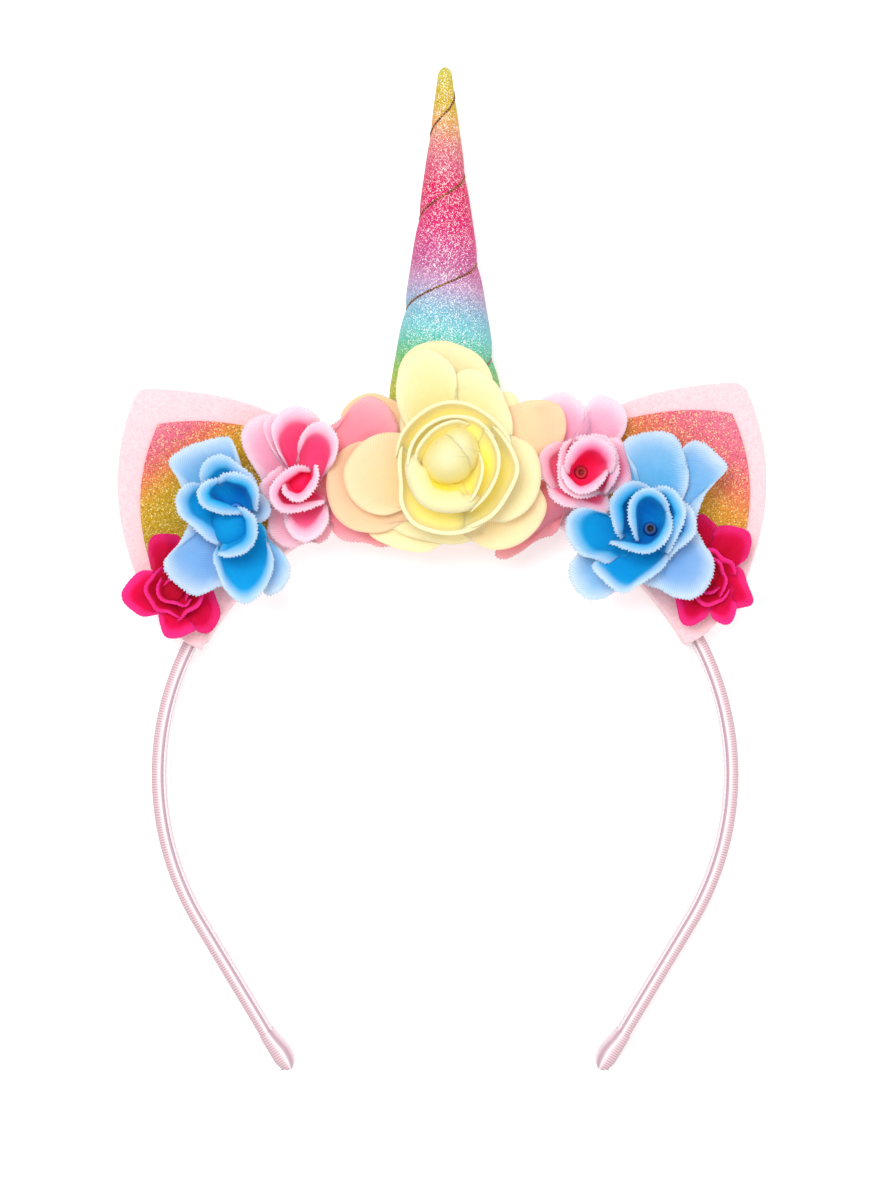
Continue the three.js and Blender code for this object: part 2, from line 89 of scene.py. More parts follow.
# Felt
SLEEVE_START = math.radians(28.5)
SLEEVE_HALF = BAND_THICK / 2 + GAP + FELT_WALL
SLEEVE_DEPTH = BAND_WIDTH + 2 * (GAP + FELT_WALL)
SLEEVE_CORNER = 1.8
SLEEVE_LIP = 0.5
SLEEVE_RELIEF = 0.06
SLEEVE_FLAT_BACK = 0.6  # no lumps of felt below this height
EAR_BACK = SLEEVE_DEPTH + GAP
EAR_THICK = 2.0
EAR_FRONT = EAR_BACK + EAR_THICK
EAR_BEVEL = 0.5
EAR_RELIEF = 0.05
GLITTER_THICK = 1.0
GLITTER_FRONT = EAR_FRONT + GAP + GLITTER_THICK
GLITTER_BEVEL = 0.2
PLATE_RINGS = 40
LEFT_EAR = dict(turn=math.radians(1.2), inner_drop=2.4)
EAR_FADE = dict(left=19, right=32)  # how far an ear's colours run
EAR_FADE_AWAY = (-0.58, -0.81)  # the way the right ear's colours run, from its outer corner
# Fewer painted glints on the ears' glitter
EAR_GLINT_BIAS = -0.04

# Horn
HORN_BASE_Y = BAND_RADIUS + SLEEVE_HALF + GAP
HORN_TIP_Y = 156.6
HORN_BASE_RADIUS = 15.4
HORN_TIP_RADIUS = 1.35
HORN_HOLLOW = 0.7
HORN_PINCH = dict(size=0.36, power=2.2)
HORN_NOSE = dict(start=0.98, length=0.02, blunt=0.97)  # as shares of the horn's length
HORN_AXIS_Z = 10.4
HORN_PLUMP = 0.012
HORN_CREASES = ((0.035, 0.7), (0.055, 2.8))  # depth as a share of the radius, and width in mm
HORN_DYE = dict(start=85, slant=0.18)  # the foot of its colours, and how far they drop to the right
HORN_GLINT_SPREAD = dict(size=0.16, middle=0.75)  # more painted glints where the horn faces up and down, fewer along its sides
HORN_SIDES = 96
HORN_STEPS = 300
THREAD = dict(top=150.4, drop=17.0, growth=0.8, radius=0.20, sunk=0.4, lobe=0.22, twist=2.6, foot=1.0)
THREAD_LAPS = dict(start=-0.28, stop=4.0, num=900)

# Pins
PIN_RADIUS = 1.4
PIN_SIDES = 24
PIN_RING = 0.12
HOLE_RADIUS = PIN_RADIUS + GAP

# The photograph's view: its scale on the plane of the band, and the point under the middle of the picture
PHOTO_HEIGHT_PX = 1181
PHOTO_SCALE = 0.22184  # mm per pixel
VIEW_CENTRE = (-0.44, 40.9)
VIEW_PLANE_Z = 8.0
VIEW_DISTANCE = 750.0
SENSOR = 36

band_low, band_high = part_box("band")
ARCH = np.array([(band_low[0] + band_high[0]) / 2, band_high[1] - (BAND_RADIUS + BAND_THICK / 2) * MM, 0])


def row(points):
    """Points in millimetres about the arch's centre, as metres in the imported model's frame."""
    return np.asarray(points, dtype=float) * MM + ARCH


def seeded(name):
    return np.random.default_rng(zlib.crc32(name.encode()))


def smooth(t):
    t = np.clip(t, 0, 1)
    return t * t * (3 - 2 * t)


def unit(vectors):
    return vectors / np.linalg.norm(vectors, axis=-1, keepdims=True)


def circle(sides):
    """Points round a circle of radius 1."""
    angle = np.linspace(0, FULL_TURN, sides, endpoint=False)
    return np.column_stack([np.cos(angle), np.sin(angle)])


def path_lengths(points):
    """How far along a path each of its points is."""
    return np.concatenate([[0], np.cumsum(np.linalg.norm(np.diff(points, axis=0), axis=1))])


# Meshes


def add_object(name, data):
    obj = bpy.data.objects.new(name, data)
    bpy.context.scene.collection.objects.link(obj)
    return obj


def add_piece(name, points, faces, material, replaces=(), attributes=None):
    """A smooth-shaded piece that rides on the headband. Attributes hold a number or three for each point."""
    mesh = bpy.data.meshes.new(name)
    mesh.from_pydata(row(points).tolist(), [], [list(map(int, face)) for face in faces])
    for key, values in (attributes or {}).items():
        values = np.asarray(values, dtype=np.float32)
        single = values.ndim == 1
        layer = mesh.attributes.new(key, "FLOAT" if single else "FLOAT_VECTOR", "POINT")
        layer.data.foreach_set("value" if single else "vector", values.ravel())
    mesh.polygons.foreach_set("use_smooth", [True] * len(mesh.polygons))
    mesh.materials.append(material)
    obj = add_object(name, mesh)
    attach(obj, "root")
    if replaces:
        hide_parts(*replaces)
    return obj


def quads(index):
    """Four-cornered faces over a grid of point numbers."""
    corners = [index[:-1, :-1], index[:-1, 1:], index[1:, 1:], index[1:, :-1]]
    return np.stack(corners, axis=-1).reshape(-1, 4)


def loop_solid(loops, ring=False):
    """Points and faces through loops of one even count.

    A ring joins its last loop to its first. Otherwise rungs across the two end loops close the solid.
    """
    loops = np.asarray(loops, dtype=float)
    count, n, _ = loops.shape
    index = np.arange(count * n).reshape(count, n)
    index = np.concatenate([index, index[:, :1]], axis=1)
    if ring:
        index = np.concatenate([index, index[:1]], axis=0)
    faces = quads(index).tolist()
    if not ring:
        for first, turn in ((0, 1), ((count - 1) * n, -1)):
            for j in range(n // 2 - 1):
                rung = [first + j, first + n - 1 - j, first + n - 2 - j, first + j + 1]
                faces.append(rung[::turn])
    points = loops.reshape(-1, 3)
    return points, outward(points, faces)


def outward(points, faces):
    """The same faces, turned so that the closed surface encloses a positive volume."""
    quad = np.asarray(faces)
    a, b, c, d = (points[quad[:, k]] for k in range(4))
    volume = (a * np.cross(b, c)).sum() + (a * np.cross(c, d)).sum()
    return quad[:, ::-1].tolist() if volume < 0 else quad.tolist()


def thick_sheet(surface, wall):
    """Points and faces of a cloth patch of even thickness about a grid of points, with its edges closed."""
    rows, columns, _ = surface.shape
    across = np.gradient(surface, axis=1)
    along = np.gradient(surface, axis=0)
    normal = np.cross(across, along)
    normal /= np.linalg.norm(normal, axis=2, keepdims=True) + 1e-9
    front = (surface + normal * wall / 2).reshape(-1, 3)
    back = (surface - normal * wall / 2).reshape(-1, 3)
    n = rows * columns
    index = np.arange(n).reshape(rows, columns)
    faces = quads(index)
    rim = np.concatenate([index[0], index[1:, -1], index[-1, -2::-1], index[-2:0:-1, 0]])
    after = np.roll(rim, -1)
    edge = np.stack([rim, rim + n, after + n, after], axis=-1)
    return np.concatenate([front, back]), np.concatenate([faces, faces[:, ::-1] + n, edge])


def rounded_loop(width, height, corner, per_corner):
    """A corner-rounded rectangle about the origin, as rows of across and up."""
    turn = np.linspace(0, math.pi / 2, per_corner)
    loop = []
    for quarter, (right, top) in enumerate(((1, 1), (-1, 1), (-1, -1), (1, -1))):
        angle = turn + quarter * math.pi / 2
        across = right * (width / 2 - corner) + corner * np.cos(angle)
        up = top * (height / 2 - corner) + corner * np.sin(angle)
        loop.append(np.stack([across, up], axis=1))
    return np.concatenate(loop)


# Materials


def linear(hex_colour):
    """A colour as the eye sees it, such as ff8000, in the linear values that a shader takes."""
    values = [int(hex_colour[i : i + 2], 16) / 255 for i in (0, 2, 4)]
    return [v / 12.92 if v <= 0.04045 else ((v + 0.055) / 1.055) ** 2.4 for v in values] + [1.0]


class Shader:
    """A node material with a Principled surface, and short ways to add and join nodes."""

    def __init__(self, name, **sockets):
        self.material = bpy.data.materials.new(name)
        self.material.use_nodes = True
        self.tree = self.material.node_tree
        self.surface = self.tree.nodes["Principled BSDF"]
        for socket, value in sockets.items():
            title = socket.replace("_", " ").title().replace("Ior", "IOR")
            self.surface.inputs[title].default_value = value

    def join(self, value, socket):
        if isinstance(value, bpy.types.NodeSocket):
            self.tree.links.new(value, socket)
        else:
            socket.default_value = value

    def node(self, kind, inputs=None, **properties):
        made = self.tree.nodes.new("ShaderNode" + kind)
        for key, value in properties.items():
            setattr(made, key, value)
        for key, value in (inputs or {}).items():
            self.join(value, made.inputs[key])
        return made

    def attribute(self, name, output="Fac"):
        return self.node("Attribute", attribute_name=name).outputs[output]

    def place(self):
        return self.node("TexCoord").outputs["Object"]

    def maths(self, operation, a, b=0.0):
        return self.node("Math", {0: a, 1: b}, operation=operation).outputs[0]

    def noise(self, scale, detail, roughness=0.6):
        inputs = {"Vector": self.place(), "Scale": scale, "Detail": detail, "Roughness": roughness}
        return self.node("TexNoise", inputs).outputs["Fac"]

    def wander(self, scale, detail, size):
        """Noise that swings evenly to both sides of 0."""
        return self.maths("MULTIPLY", self.maths("SUBTRACT", self.noise(scale, detail), 0.5), size)

    def threads(self, vector, scale, direction):
        inputs = {"Vector": vector, "Scale": scale, "Distortion": 0.6, "Detail": 1.0}
        return self.node("TexWave", inputs, bands_direction=direction).outputs["Fac"]

    def ramp(self, factor, stops):
        made = self.node("ValToRGB", {"Fac": factor})
        points = made.color_ramp.elements
        while len(points) < len(stops):
            points.new(0.5)
        for point, (place, colour) in zip(points, stops):
            point.position = place
            point.color = linear(colour)
        return made.outputs["Color"]

    def mix(self, factor, a, b, blend="MIX"):
        made = self.node("Mix", data_type="RGBA", blend_type=blend)
        for value, socket in ((factor, made.inputs[0]), (a, made.inputs[6]), (b, made.inputs[7])):
            self.join(value, socket)
        return made.outputs[2]

    def multiply(self, a, b):
        return self.mix(1.0, a, b, "MULTIPLY")

    def bump(self, height, strength, distance, normal=None):
        inputs = {"Height": height, "Strength": strength, "Distance": distance}
        if normal:
            inputs["Normal"] = normal
        return self.node("Bump", inputs).outputs["Normal"]

    def finish(self, colour, normal=None):
        for name, socket in (("Base Color", colour), ("Normal", normal)):
            if socket:
                self.tree.links.new(socket, self.surface.inputs[name])
        return self.material


def petal_cloth(name, stops, tint, weave, painted_glow):
    """Stiffened woven cloth, dyed from a deep middle to a pale rim, with a second dye by the tint attribute.

    The cloth is thin: its emission is painted light, glowing in the cloth's own colour as the light that
    comes through it from the other side would, and lightening its shaded gaps, most in the deep middle.
    """
    shader = Shader(
        name, roughness=0.75, specular_ior_level=0.1, sheen_weight=0.03, subsurface_weight=0.5,
        subsurface_radius=(1.0, 0.8, 0.6), subsurface_scale=0.0012, emission_strength=painted_glow,
    )
    tone = shader.maths("ADD", shader.attribute("tone"), shader.wander(scale=160, detail=2, size=0.16))
    colour = shader.mix(shader.attribute("tint"), shader.ramp(tone, stops), linear(tint))
    cloth = shader.attribute("cloth", "Vector")
    warp = shader.maths("MULTIPLY", shader.threads(cloth, scale=0.70, direction="X"), 0.7)
    weft = shader.maths("MULTIPLY", shader.threads(cloth, scale=0.80, direction="Y"), 0.3)
    threads = shader.maths("ADD", warp, weft)
    shade = shader.mix(weave, linear("ffffff"), shader.ramp(threads, [(0.0, "d9d9d9"), (0.8, "ffffff")]))
    colour = shader.multiply(colour, shade)
    # Painted light: the emission takes the cloth's colour, in full where the tone is deep and shaded gaps
    # lie, less towards the rim
    deep = shader.ramp(tone, [(0.34, "ffffff"), (0.75, "8c8c8c")])
    shader.join(shader.multiply(colour, deep), shader.surface.inputs["Emission Color"])
    normal = shader.bump(threads, strength=0.5 * weave, distance=0.00012)
    normal = shader.bump(shader.noise(scale=420, detail=2), strength=0.15, distance=0.0003, normal=normal)
    return shader.finish(colour, normal)


def felt_cloth():
    """Needle felt: matted fibres, lighter and darker, over a soft surface."""
    shader = Shader("felt", roughness=0.95, sheen_weight=0.5, sheen_roughness=0.5)
    fibres = shader.noise(scale=1500, detail=4, roughness=0.7)
    clouds = shader.noise(scale=90, detail=2)
    colour = shader.ramp(fibres, [(0.28, "f4bcc4"), (0.5, "f9cdd3"), (0.7, "fbd8dc")])
    colour = shader.mix(shader.maths("MULTIPLY", clouds, 0.2), colour, linear("f7c6cd"))
    return shader.finish(colour, shader.bump(fibres, strength=0.6, distance=0.0003))


def satin_ribbon():
    """Ribbed satin with painted light: painted shade in a band along the inside and at the outer edge, a
    painted highlight stripe beside it, and painted shadow in the hollows of the ribs to the outer edge.
    """
    shader = Shader("ribbon", roughness=0.42, sheen_weight=0.1, sheen_roughness=0.3)
    across = shader.attribute("across")
    # Painted light across the band: painted shade along the inside and at the outer edge, with a painted
    # highlight stripe between
    painted_light_stripes = shader.ramp(across, [
        (0.0, "d2b8c0"), (0.12, "b491a0"), (0.26, "c0a0ac"), (0.34, "f2e6e8"),
        (0.48, "eedde0"), (0.62, "dcc0c6"), (0.9, "d6b8be"), (1.0, "b48c96"),
    ])
    # Painted shadow in the hollows of the ribs, kept to the outer part of the band
    shadow = shader.ramp(shader.attribute("rib"), [(0.0, "ceb0b6"), (0.6, "ffffff")])
    ribbed = shader.ramp(across, [(0.4, "000000"), (0.56, "ffffff")])
    colour = shader.mix(ribbed, painted_light_stripes, shader.multiply(painted_light_stripes, shadow))
    streaks = shader.noise(scale=60, detail=2)
    colour = shader.mix(shader.maths("MULTIPLY", streaks, 0.2), colour, linear("dcc2ca"))
    colour = shader.mix(shader.attribute("seam"), colour, linear("f6eef0"))
    threads = shader.maths("SINE", shader.maths("MULTIPLY", shader.attribute("along"), 14.0))
    return shader.finish(colour, shader.bump(threads, strength=0.05, distance=0.0001))


def glitter_cloth(name, colour_of, flake, painted_glint_colour):
    """Glitter: small flakes that each lean their own way, some given a painted glint, a near-white painted
    highlight, over a dyed ground.
    """
    shader = Shader(name, roughness=0.5, specular_ior_level=0.12)
    cells = shader.node("TexVoronoi", {"Vector": shader.place(), "Scale": 1 / (flake * MM)}).outputs["Color"]
    chance = shader.node("SeparateColor", {"Color": cells})
    shade = shader.ramp(chance.outputs["Red"], [(0.0, "b4b4b4"), (0.4, "eeeeee"), (1.0, "ffffff")])
    colour = shader.multiply(colour_of(shader), shade)
    # Painted glints: some flakes are painted near-white as if they caught the light; an attribute on each
    # piece shifts how many
    caught = shader.maths("ADD", chance.outputs["Green"], shader.attribute("painted_glint_bias"))
    painted_glints = shader.ramp(caught, [(0.82, "000000"), (0.93, "ffffff")])
    colour = shader.mix(shader.maths("MULTIPLY", painted_glints, 0.8), colour, linear(painted_glint_colour))
    spread, leaning = 2.2, 0.12
    middle = (0.5, 0.5, 0.5)
    aside = shader.node("VectorMath", {0: cells, 1: middle}, operation="SUBTRACT").outputs[0]
    wide = shader.node("VectorMath", {0: aside, "Scale": spread}, operation="SCALE").outputs[0]
    normal = shader.node("NewGeometry").outputs["Normal"]
    lean = shader.node("Mix", {"Factor": leaning, 4: normal, 5: wide}, data_type="VECTOR").outputs[1]
    facing = shader.node("VectorMath", {0: lean}, operation="NORMALIZE").outputs[0]
    return shader.finish(colour, facing)


def ear_ground(shader):
    """Coral at the outer corner, through orange, to gold at the foot of the ear."""
    return shader.ramp(shader.attribute("tone"), [
        (0.0, "f07c98"), (0.24, "ee6c82"), (0.42, "ec7658"),
        (0.56, "e49638"), (0.7, "d2a01c"), (1.0, "c29c18"),
    ])


def horn_ground(shader):
    """Gold at the tip, through coral, pink, lavender and sky blue, to green at the foot."""
    tone = shader.maths("ADD", shader.attribute("tone"), shader.wander(scale=45, detail=1, size=0.05))
    return shader.ramp(tone, [
        (0.00, "b8c030"), (0.05, "86c04a"), (0.10, "66c484"), (0.14, "6ccab4"), (0.18, "79ccd2"),
        (0.23, "7fbad2"), (0.28, "a8a6ca"), (0.32, "c494c0"), (0.37, "c6629a"), (0.42, "d04e90"),
        (0.50, "de2a74"), (0.62, "e02a64"), (0.69, "dc5a7c"), (0.76, "e07c76"), (0.83, "e4a65a"),
        (0.88, "d6ae2c"), (1.00, "d2c43e"),
    ])


def metallic_thread():
    shader = Shader("thread", roughness=0.35, metallic=0.7)
    plies = shader.maths("SINE", shader.maths("MULTIPLY", shader.attribute("along"), 9.0))
    return shader.finish(shader.ramp(plies, [(0.3, "6a3e22"), (0.7, "c08a56")]))


def pin_plastic(name, dimple_shade, light):
    """Moulded plastic, with painted shade in the dimple in the middle of the pin's head."""
    shader = Shader(name, roughness=0.55)
    specks = shader.noise(scale=900, detail=2)
    tone = shader.maths("ADD", shader.attribute("tone"), shader.maths("MULTIPLY", specks, 0.3))
    colour = shader.ramp(tone, [(0.6, dimple_shade), (0.95, light)])
    return shader.finish(colour, shader.bump(specks, strength=0.2, distance=0.0001))


# Stops run from the deep middle of a petal to its rim, tint is the second dye, and the last entry is the
# strength of the cloth's painted emission, light painted in to lighten its shaded gaps
DYES = {
    "cream": dict(
        stops=[
            (0.0, "fbd400"), (0.15, "fee81e"), (0.3, "fbea44"),
            (0.5, "f4e480"), (0.72, "e8d996"), (1.0, "f0e5b6"),
        ],
        tint="f8c2a0", weave=0.4, painted_glow=0.24,
    ),
    "pink": dict(
        stops=[
            (0.0, "d4002c"), (0.08, "f4104a"), (0.2, "f62c6c"), (0.42, "f6588c"),
            (0.6, "f886ac"), (0.76, "f8a8c4"), (0.9, "f9bed4"), (1.0, "fad2e0"),
        ],
        tint="f8848e", weave=0.6, painted_glow=0.05,
    ),
    "blue": dict(
        stops=[
            (0.0, "0056a8"), (0.08, "0072c2"), (0.2, "008ace"), (0.44, "0698d8"),
            (0.64, "46ace2"), (0.82, "80b8e4"), (0.94, "a6cae8"), (1.0, "bed6ee"),
        ],
        tint="8c90dc", weave=0.6, painted_glow=0.05,
    ),
    "magenta": dict(
        stops=[(0.0, "9c001c"), (0.25, "bc002a"), (0.6, "dc004a"), (1.0, "f62a88")],
        tint="b80032", weave=0.6, painted_glow=0.05,
    ),
}
CLOTHS = {colour: petal_cloth(f"{colour}_cloth", **dye) for colour, dye in DYES.items()}
FELT = felt_cloth()
RIBBON = satin_ribbon()
EAR_GLITTER = glitter_cloth("ear_glitter", ear_ground, flake=0.19, painted_glint_colour="ffeca0")
HORN_GLITTER = glitter_cloth("horn_glitter", horn_ground, flake=0.16, painted_glint_colour="fffdf8")
THREAD_METAL = metallic_thread()


# Band


def band_loop(distance, loop):
    """A section, as rows of across and up, set square to the band at a distance from its crown.

    A distance to the left is negative.
    """
    side = -1 if distance < 0 else 1
    distance = abs(distance)
    angle = math.pi / 2 - min(distance, ARCH_LENGTH) / BAND_RADIUS
    past = max(distance - ARCH_LENGTH, 0)
    out = np.array([side * math.cos(angle), math.sin(angle)])
    centre = out * BAND_RADIUS + np.array([side * math.sin(angle), -math.cos(angle)]) * past
    sleeved = BAND_RADIUS * (math.pi / 2 - SLEEVE_START)
    drop = smooth((distance - sleeved) / (FOLD_MOUTH - sleeved))
    z = BAND_MID_Z + (LEG_MID_Z - BAND_MID_Z) * drop
    flat = centre + loop[:, :1] * out
    return np.column_stack([flat, z + loop[:, 1]])


def ribs(distance):
    """1 on the crest of a rib and 0 in the hollow beside it."""
    return 0.5 + 0.5 * np.cos(FULL_TURN * distance / RIB_PITCH)


def add_ribbon(name, loops, along, rib, across, seam=0.0, replaces=()):
    """Ribbon through loops. Along and rib have a value for each loop, and across one for each point."""
    points, faces = loop_solid(loops)
    per_loop = len(points) // len(loops)
    attributes = {
        "along": np.repeat(along, per_loop),
        "rib": np.repeat(rib, per_loop),
        "across": np.ravel(across),
        "seam": np.full(len(points), seam),
    }
    return add_piece(name, points, faces, RIBBON, replaces, attributes)


def build_band():
    """The ribbon-covered band, with a rib across it for every thread of the ribbon."""
    half = FOLD_MOUTH + BAND_TUCK
    steps = int(2 * half / RIB_PITCH) * RIB_STEPS
    places = np.linspace(-1, 1, steps + 1) * half
    loops = []
    across = []
    for distance in places:
        swell = RIB_HEIGHT * (ribs(distance) - 1)
        loop = rounded_loop(BAND_THICK + 2 * swell, BAND_WIDTH + 2 * swell, BAND_CORNER, CORNER_POINTS)
        loops.append(band_loop(distance, loop))
        across.append(0.5 + loop[:, 0] / BAND_THICK)
    add_ribbon("ribbon_band", loops, places, ribs(places), across, replaces=["band"])


def build_ribbon_edge():
    """The ribbon's woven edge, which lies along the inside of the band near its front."""
    edge = RIBBON_EDGE
    across = -(BAND_THICK / 2 - BAND_CORNER + BAND_CORNER * math.cos(edge["turn"]))
    up = BAND_WIDTH / 2 - BAND_CORNER + BAND_CORNER * math.sin(edge["turn"])
    section = circle(edge["sides"])
    places = np.linspace(-1, 1, edge["steps"]) * (FOLD_MOUTH + edge["tuck"])
    loops = []
    for distance in places:
        radius = edge["radius"] + edge["swell"] * math.cos(FULL_TURN * distance / (2 * RIB_PITCH))
        loops.append(band_loop(distance, [across, up] + radius * section))
    rib = np.full(len(places), EDGE_SHADE["rib"])
    shade = np.full((len(places), edge["sides"]), EDGE_SHADE["across"])
    add_ribbon("ribbon_edge", loops, places, rib, shade, seam=EDGE_SHADE["seam"])


def build_fold(side, hand):
    """The ribbon's end folded over a tip: a pouch, from the bottom of its inside to its mouth and round it.

    Its outer face carries on from the band, and its inner face swells towards the tip.
    """
    inner = rounded_loop(FOLD["inner_thick"], FOLD["inner_width"], FOLD["inner_corner"], CORNER_POINTS)
    # The fold's inside takes the ribbon's painted shade
    inner_shade = 0.2
    nose_square = 0.149  # the nose's length as a share of the fold's, squared
    blunt = 0.03
    tip_width = 0.55
    steps = 61
    loops = [band_loop(side * distance, inner) for distance in (FOLD_MOUTH + FOLD["inside"], FOLD_MOUTH)]
    ribbed = [inner_shade] * len(loops)
    across = [np.full(len(inner), inner_shade)] * len(loops)
    for along in np.linspace(0, 1, steps):
        nose = math.sqrt(max(1 - max(along - FOLD["nose"], 0) ** 2 / nose_square, blunt))
        swollen = smooth(along / FOLD["swollen"])
        rib = ribs(along * FOLD["length"])
        swell = RIB_HEIGHT * (rib - 1)
        thick = (FOLD["mouth_thick"] + (FOLD["thick"] - FOLD["mouth_thick"]) * swollen) * nose + 2 * swell
        width = FOLD["width"] * (tip_width + (1 - tip_width) * nose) + 2 * swell
        loop = rounded_loop(thick, width, FOLD["corner_share"] * thick, CORNER_POINTS)
        across.append(0.5 + loop[:, 0] / thick)
        loop = loop - [FOLD["lean"] * swollen, 0]
        loops.append(band_loop(side * (FOLD_MOUTH + FOLD["length"] * along), loop))
        ribbed.append(rib)
    name = f"ribbon_fold_{hand}"
    fold = add_ribbon(f"{name}_cloth", loops, ribbed, ribbed, across, replaces=[name])


# Felt


def felt_relief(points, name, depth):
    """Small soft lumps, the same each run: a few crossed waves along chosen directions."""
    rng = seeded(name)
    relief = np.zeros(len(points))
    waves = (1.6, 2.7, 4.3, 7.9)
    for wave in waves:
        direction = rng.normal(size=3)
        direction /= np.linalg.norm(direction)
        relief += np.sin(points @ direction * FULL_TURN / wave + rng.uniform(0, PHASES))
    return depth * relief / len(waves)


def build_sleeve():
    """Felt wrapped round the crown of the band, open at both ends."""
    steps = 150
    inside_step = 10
    per_corner = 6
    angles = np.linspace(SLEEVE_START, math.pi - SLEEVE_START, steps)

    def loop_at(angle, loop):
        radius = BAND_RADIUS + loop[:, 0]
        z = SLEEVE_DEPTH / 2 + loop[:, 1]
        return np.column_stack([radius * math.cos(angle), radius * math.sin(angle), z])

    outside = rounded_loop(2 * SLEEVE_HALF, SLEEVE_DEPTH, SLEEVE_CORNER, per_corner)
    lip = rounded_loop(2 * SLEEVE_HALF - SLEEVE_LIP, SLEEVE_DEPTH - SLEEVE_LIP, SLEEVE_CORNER, per_corner)
    inside = rounded_loop(BAND_THICK + 2 * GAP, BAND_WIDTH + 2 * GAP, BAND_CORNER, per_corner)
    loops = []
    for i, angle in enumerate(angles):
        loops.append(loop_at(angle, lip if i in (0, steps - 1) else outside))
    for angle in angles[::-inside_step]:
        loops.append(loop_at(angle, inside))
    loops.append(loop_at(angles[0], inside))
    points, faces = loop_solid(loops, ring=True)
    above = points[:, 2] > SLEEVE_FLAT_BACK
    points[above, 2] += felt_relief(points, "sleeve", SLEEVE_RELIEF)[above]
    piece = add_piece("felt_sleeve_cloth", points, faces, FELT, ["felt_sleeve"])


def curves(start, *rows):
    """Points along a chain of curves. Each row is a control point, an end and a count of points."""
    parts = []
    for control, end, count in rows:
        t = np.linspace(0, 1, count, endpoint=False)[:, None]
        bent = 2 * t * (1 - t) * np.array(control)
        parts.append((1 - t) ** 2 * np.array(start) + bent + t**2 * np.array(end))
        start = end
    return np.concatenate(parts)


def ear_outline():
    """The right ear, from the sleeve's inner edge near the crown, down that edge, and round the outside."""
    inside = BAND_RADIUS - SLEEVE_HALF
    outside = BAND_RADIUS + SLEEVE_HALF
    crown = math.radians(70)
    arc = np.linspace(crown, SLEEVE_START, 40, endpoint=False)
    foot = inside * np.array([math.cos(SLEEVE_START), math.sin(SLEEVE_START)])
    top = outside * np.array([math.cos(crown), math.sin(crown)])
    below_top = inside / outside * top
    round_outside = curves(
        foot,
        ((54.6, 29.6), (56.2, 30.4), 4),
        ((64.5, 36.5), (67.6, 46.5), 20),
        ((74.6, 66.5), (66.9, 84.6), 40),
        ((66.0, 86.8), (63.4, 86.9), 8),
        ((45.5, 85.8), (36.0, 80.6), 34),
        ((28.5, 76.4), top, 24),
        ((top + below_top) / 2, below_top, 8),
    )
    return np.concatenate([inside * np.column_stack([np.cos(arc), np.sin(arc)]), round_outside])


def inner_ear_outline():
    """The right ear's glitter leaf, from its outer corner."""
    return curves(
        (63.2, 79.9),
        ((52, 81.9), (39, 78.4), 30),
        ((37.5, 70.2), (36, 62), 16),
        ((39.5, 56.2), (43, 50.5), 14),
        ((54, 48.6), (64.9, 49.2), 24),
        ((70, 65), (63.2, 79.9), 34),
    )


def plate(outline, back, front, bevel):
    """A flat cut-out with softened edges, and its area.

    Its loops run from the middle of its back, round its edge, to the middle of its front.
    """
    middle = outline.mean(axis=0)
    after = np.roll(outline, -1, axis=0)
    edge = after - np.roll(outline, 1, axis=0)
    inward = unit(np.column_stack([-edge[:, 1], edge[:, 0]]))
    area = 0.5 * np.sum(outline[:, 0] * after[:, 1] - outline[:, 1] * after[:, 0])
    inward *= np.sign(area)
    loops = []

    def add(shape, z):
        loops.append(np.column_stack([shape, np.full(len(shape), z)]))

    half = (front - back) / 2
    face = outline + inward * bevel
    smallest = 0.02
    shares = np.linspace(smallest, 1, PLATE_RINGS)
    for share in shares:
        add(middle + (face - middle) * share, back)
    for turn in np.radians([-60, -30, 0, 30, 60]):
        add(outline + inward * bevel * (1 - math.cos(turn)), back + half * (1 + math.sin(turn)))
    for share in shares[::-1]:
        add(middle + (face - middle) * share, front)
    points, faces = loop_solid(loops)
    return points, faces, abs(area)


def build_ears():
    for side, hand in HANDS:
        outline = ear_outline() * [side, 1]
        inner_outline = inner_ear_outline() * [side, 1]
        if hand == "left":
            turn = np.array(Matrix.Rotation(LEFT_EAR["turn"], 2))
            outline = outline @ turn.T
            inner_outline = inner_outline - [0, LEFT_EAR["inner_drop"]]
        points, faces, area = plate(outline, EAR_BACK, EAR_FRONT, EAR_BEVEL)
        points[:, 2] += felt_relief(points, "ear", EAR_RELIEF)
        name = f"felt_ear_{hand}"
        ear = add_piece(f"{name}_cloth", points, faces, FELT, [name])

        points, faces, area = plate(inner_outline, EAR_FRONT + GAP, GLITTER_FRONT, GLITTER_BEVEL)
        corner = inner_outline[0]
        away = np.array(EAR_FADE_AWAY) * [side, 1]
        tone = np.clip((points[:, :2] - corner) @ away / EAR_FADE[hand], 0, 1)
        name = f"inner_ear_{hand}"
        # Painted glints: the ears get fewer of them
        attributes = {"tone": tone, "painted_glint_bias": np.full(len(points), EAR_GLINT_BIAS)}
        inner = add_piece(f"{name}_cloth", points, faces, EAR_GLITTER, [name], attributes)


# Horn


def thread_height(turns):
    return THREAD["top"] - THREAD["drop"] * turns - THREAD["growth"] * turns**2


def horn_share(y):
    """How far up the horn a height is, as a share of its length."""
    return (y - HORN_BASE_Y) / (HORN_TIP_Y - HORN_BASE_Y)


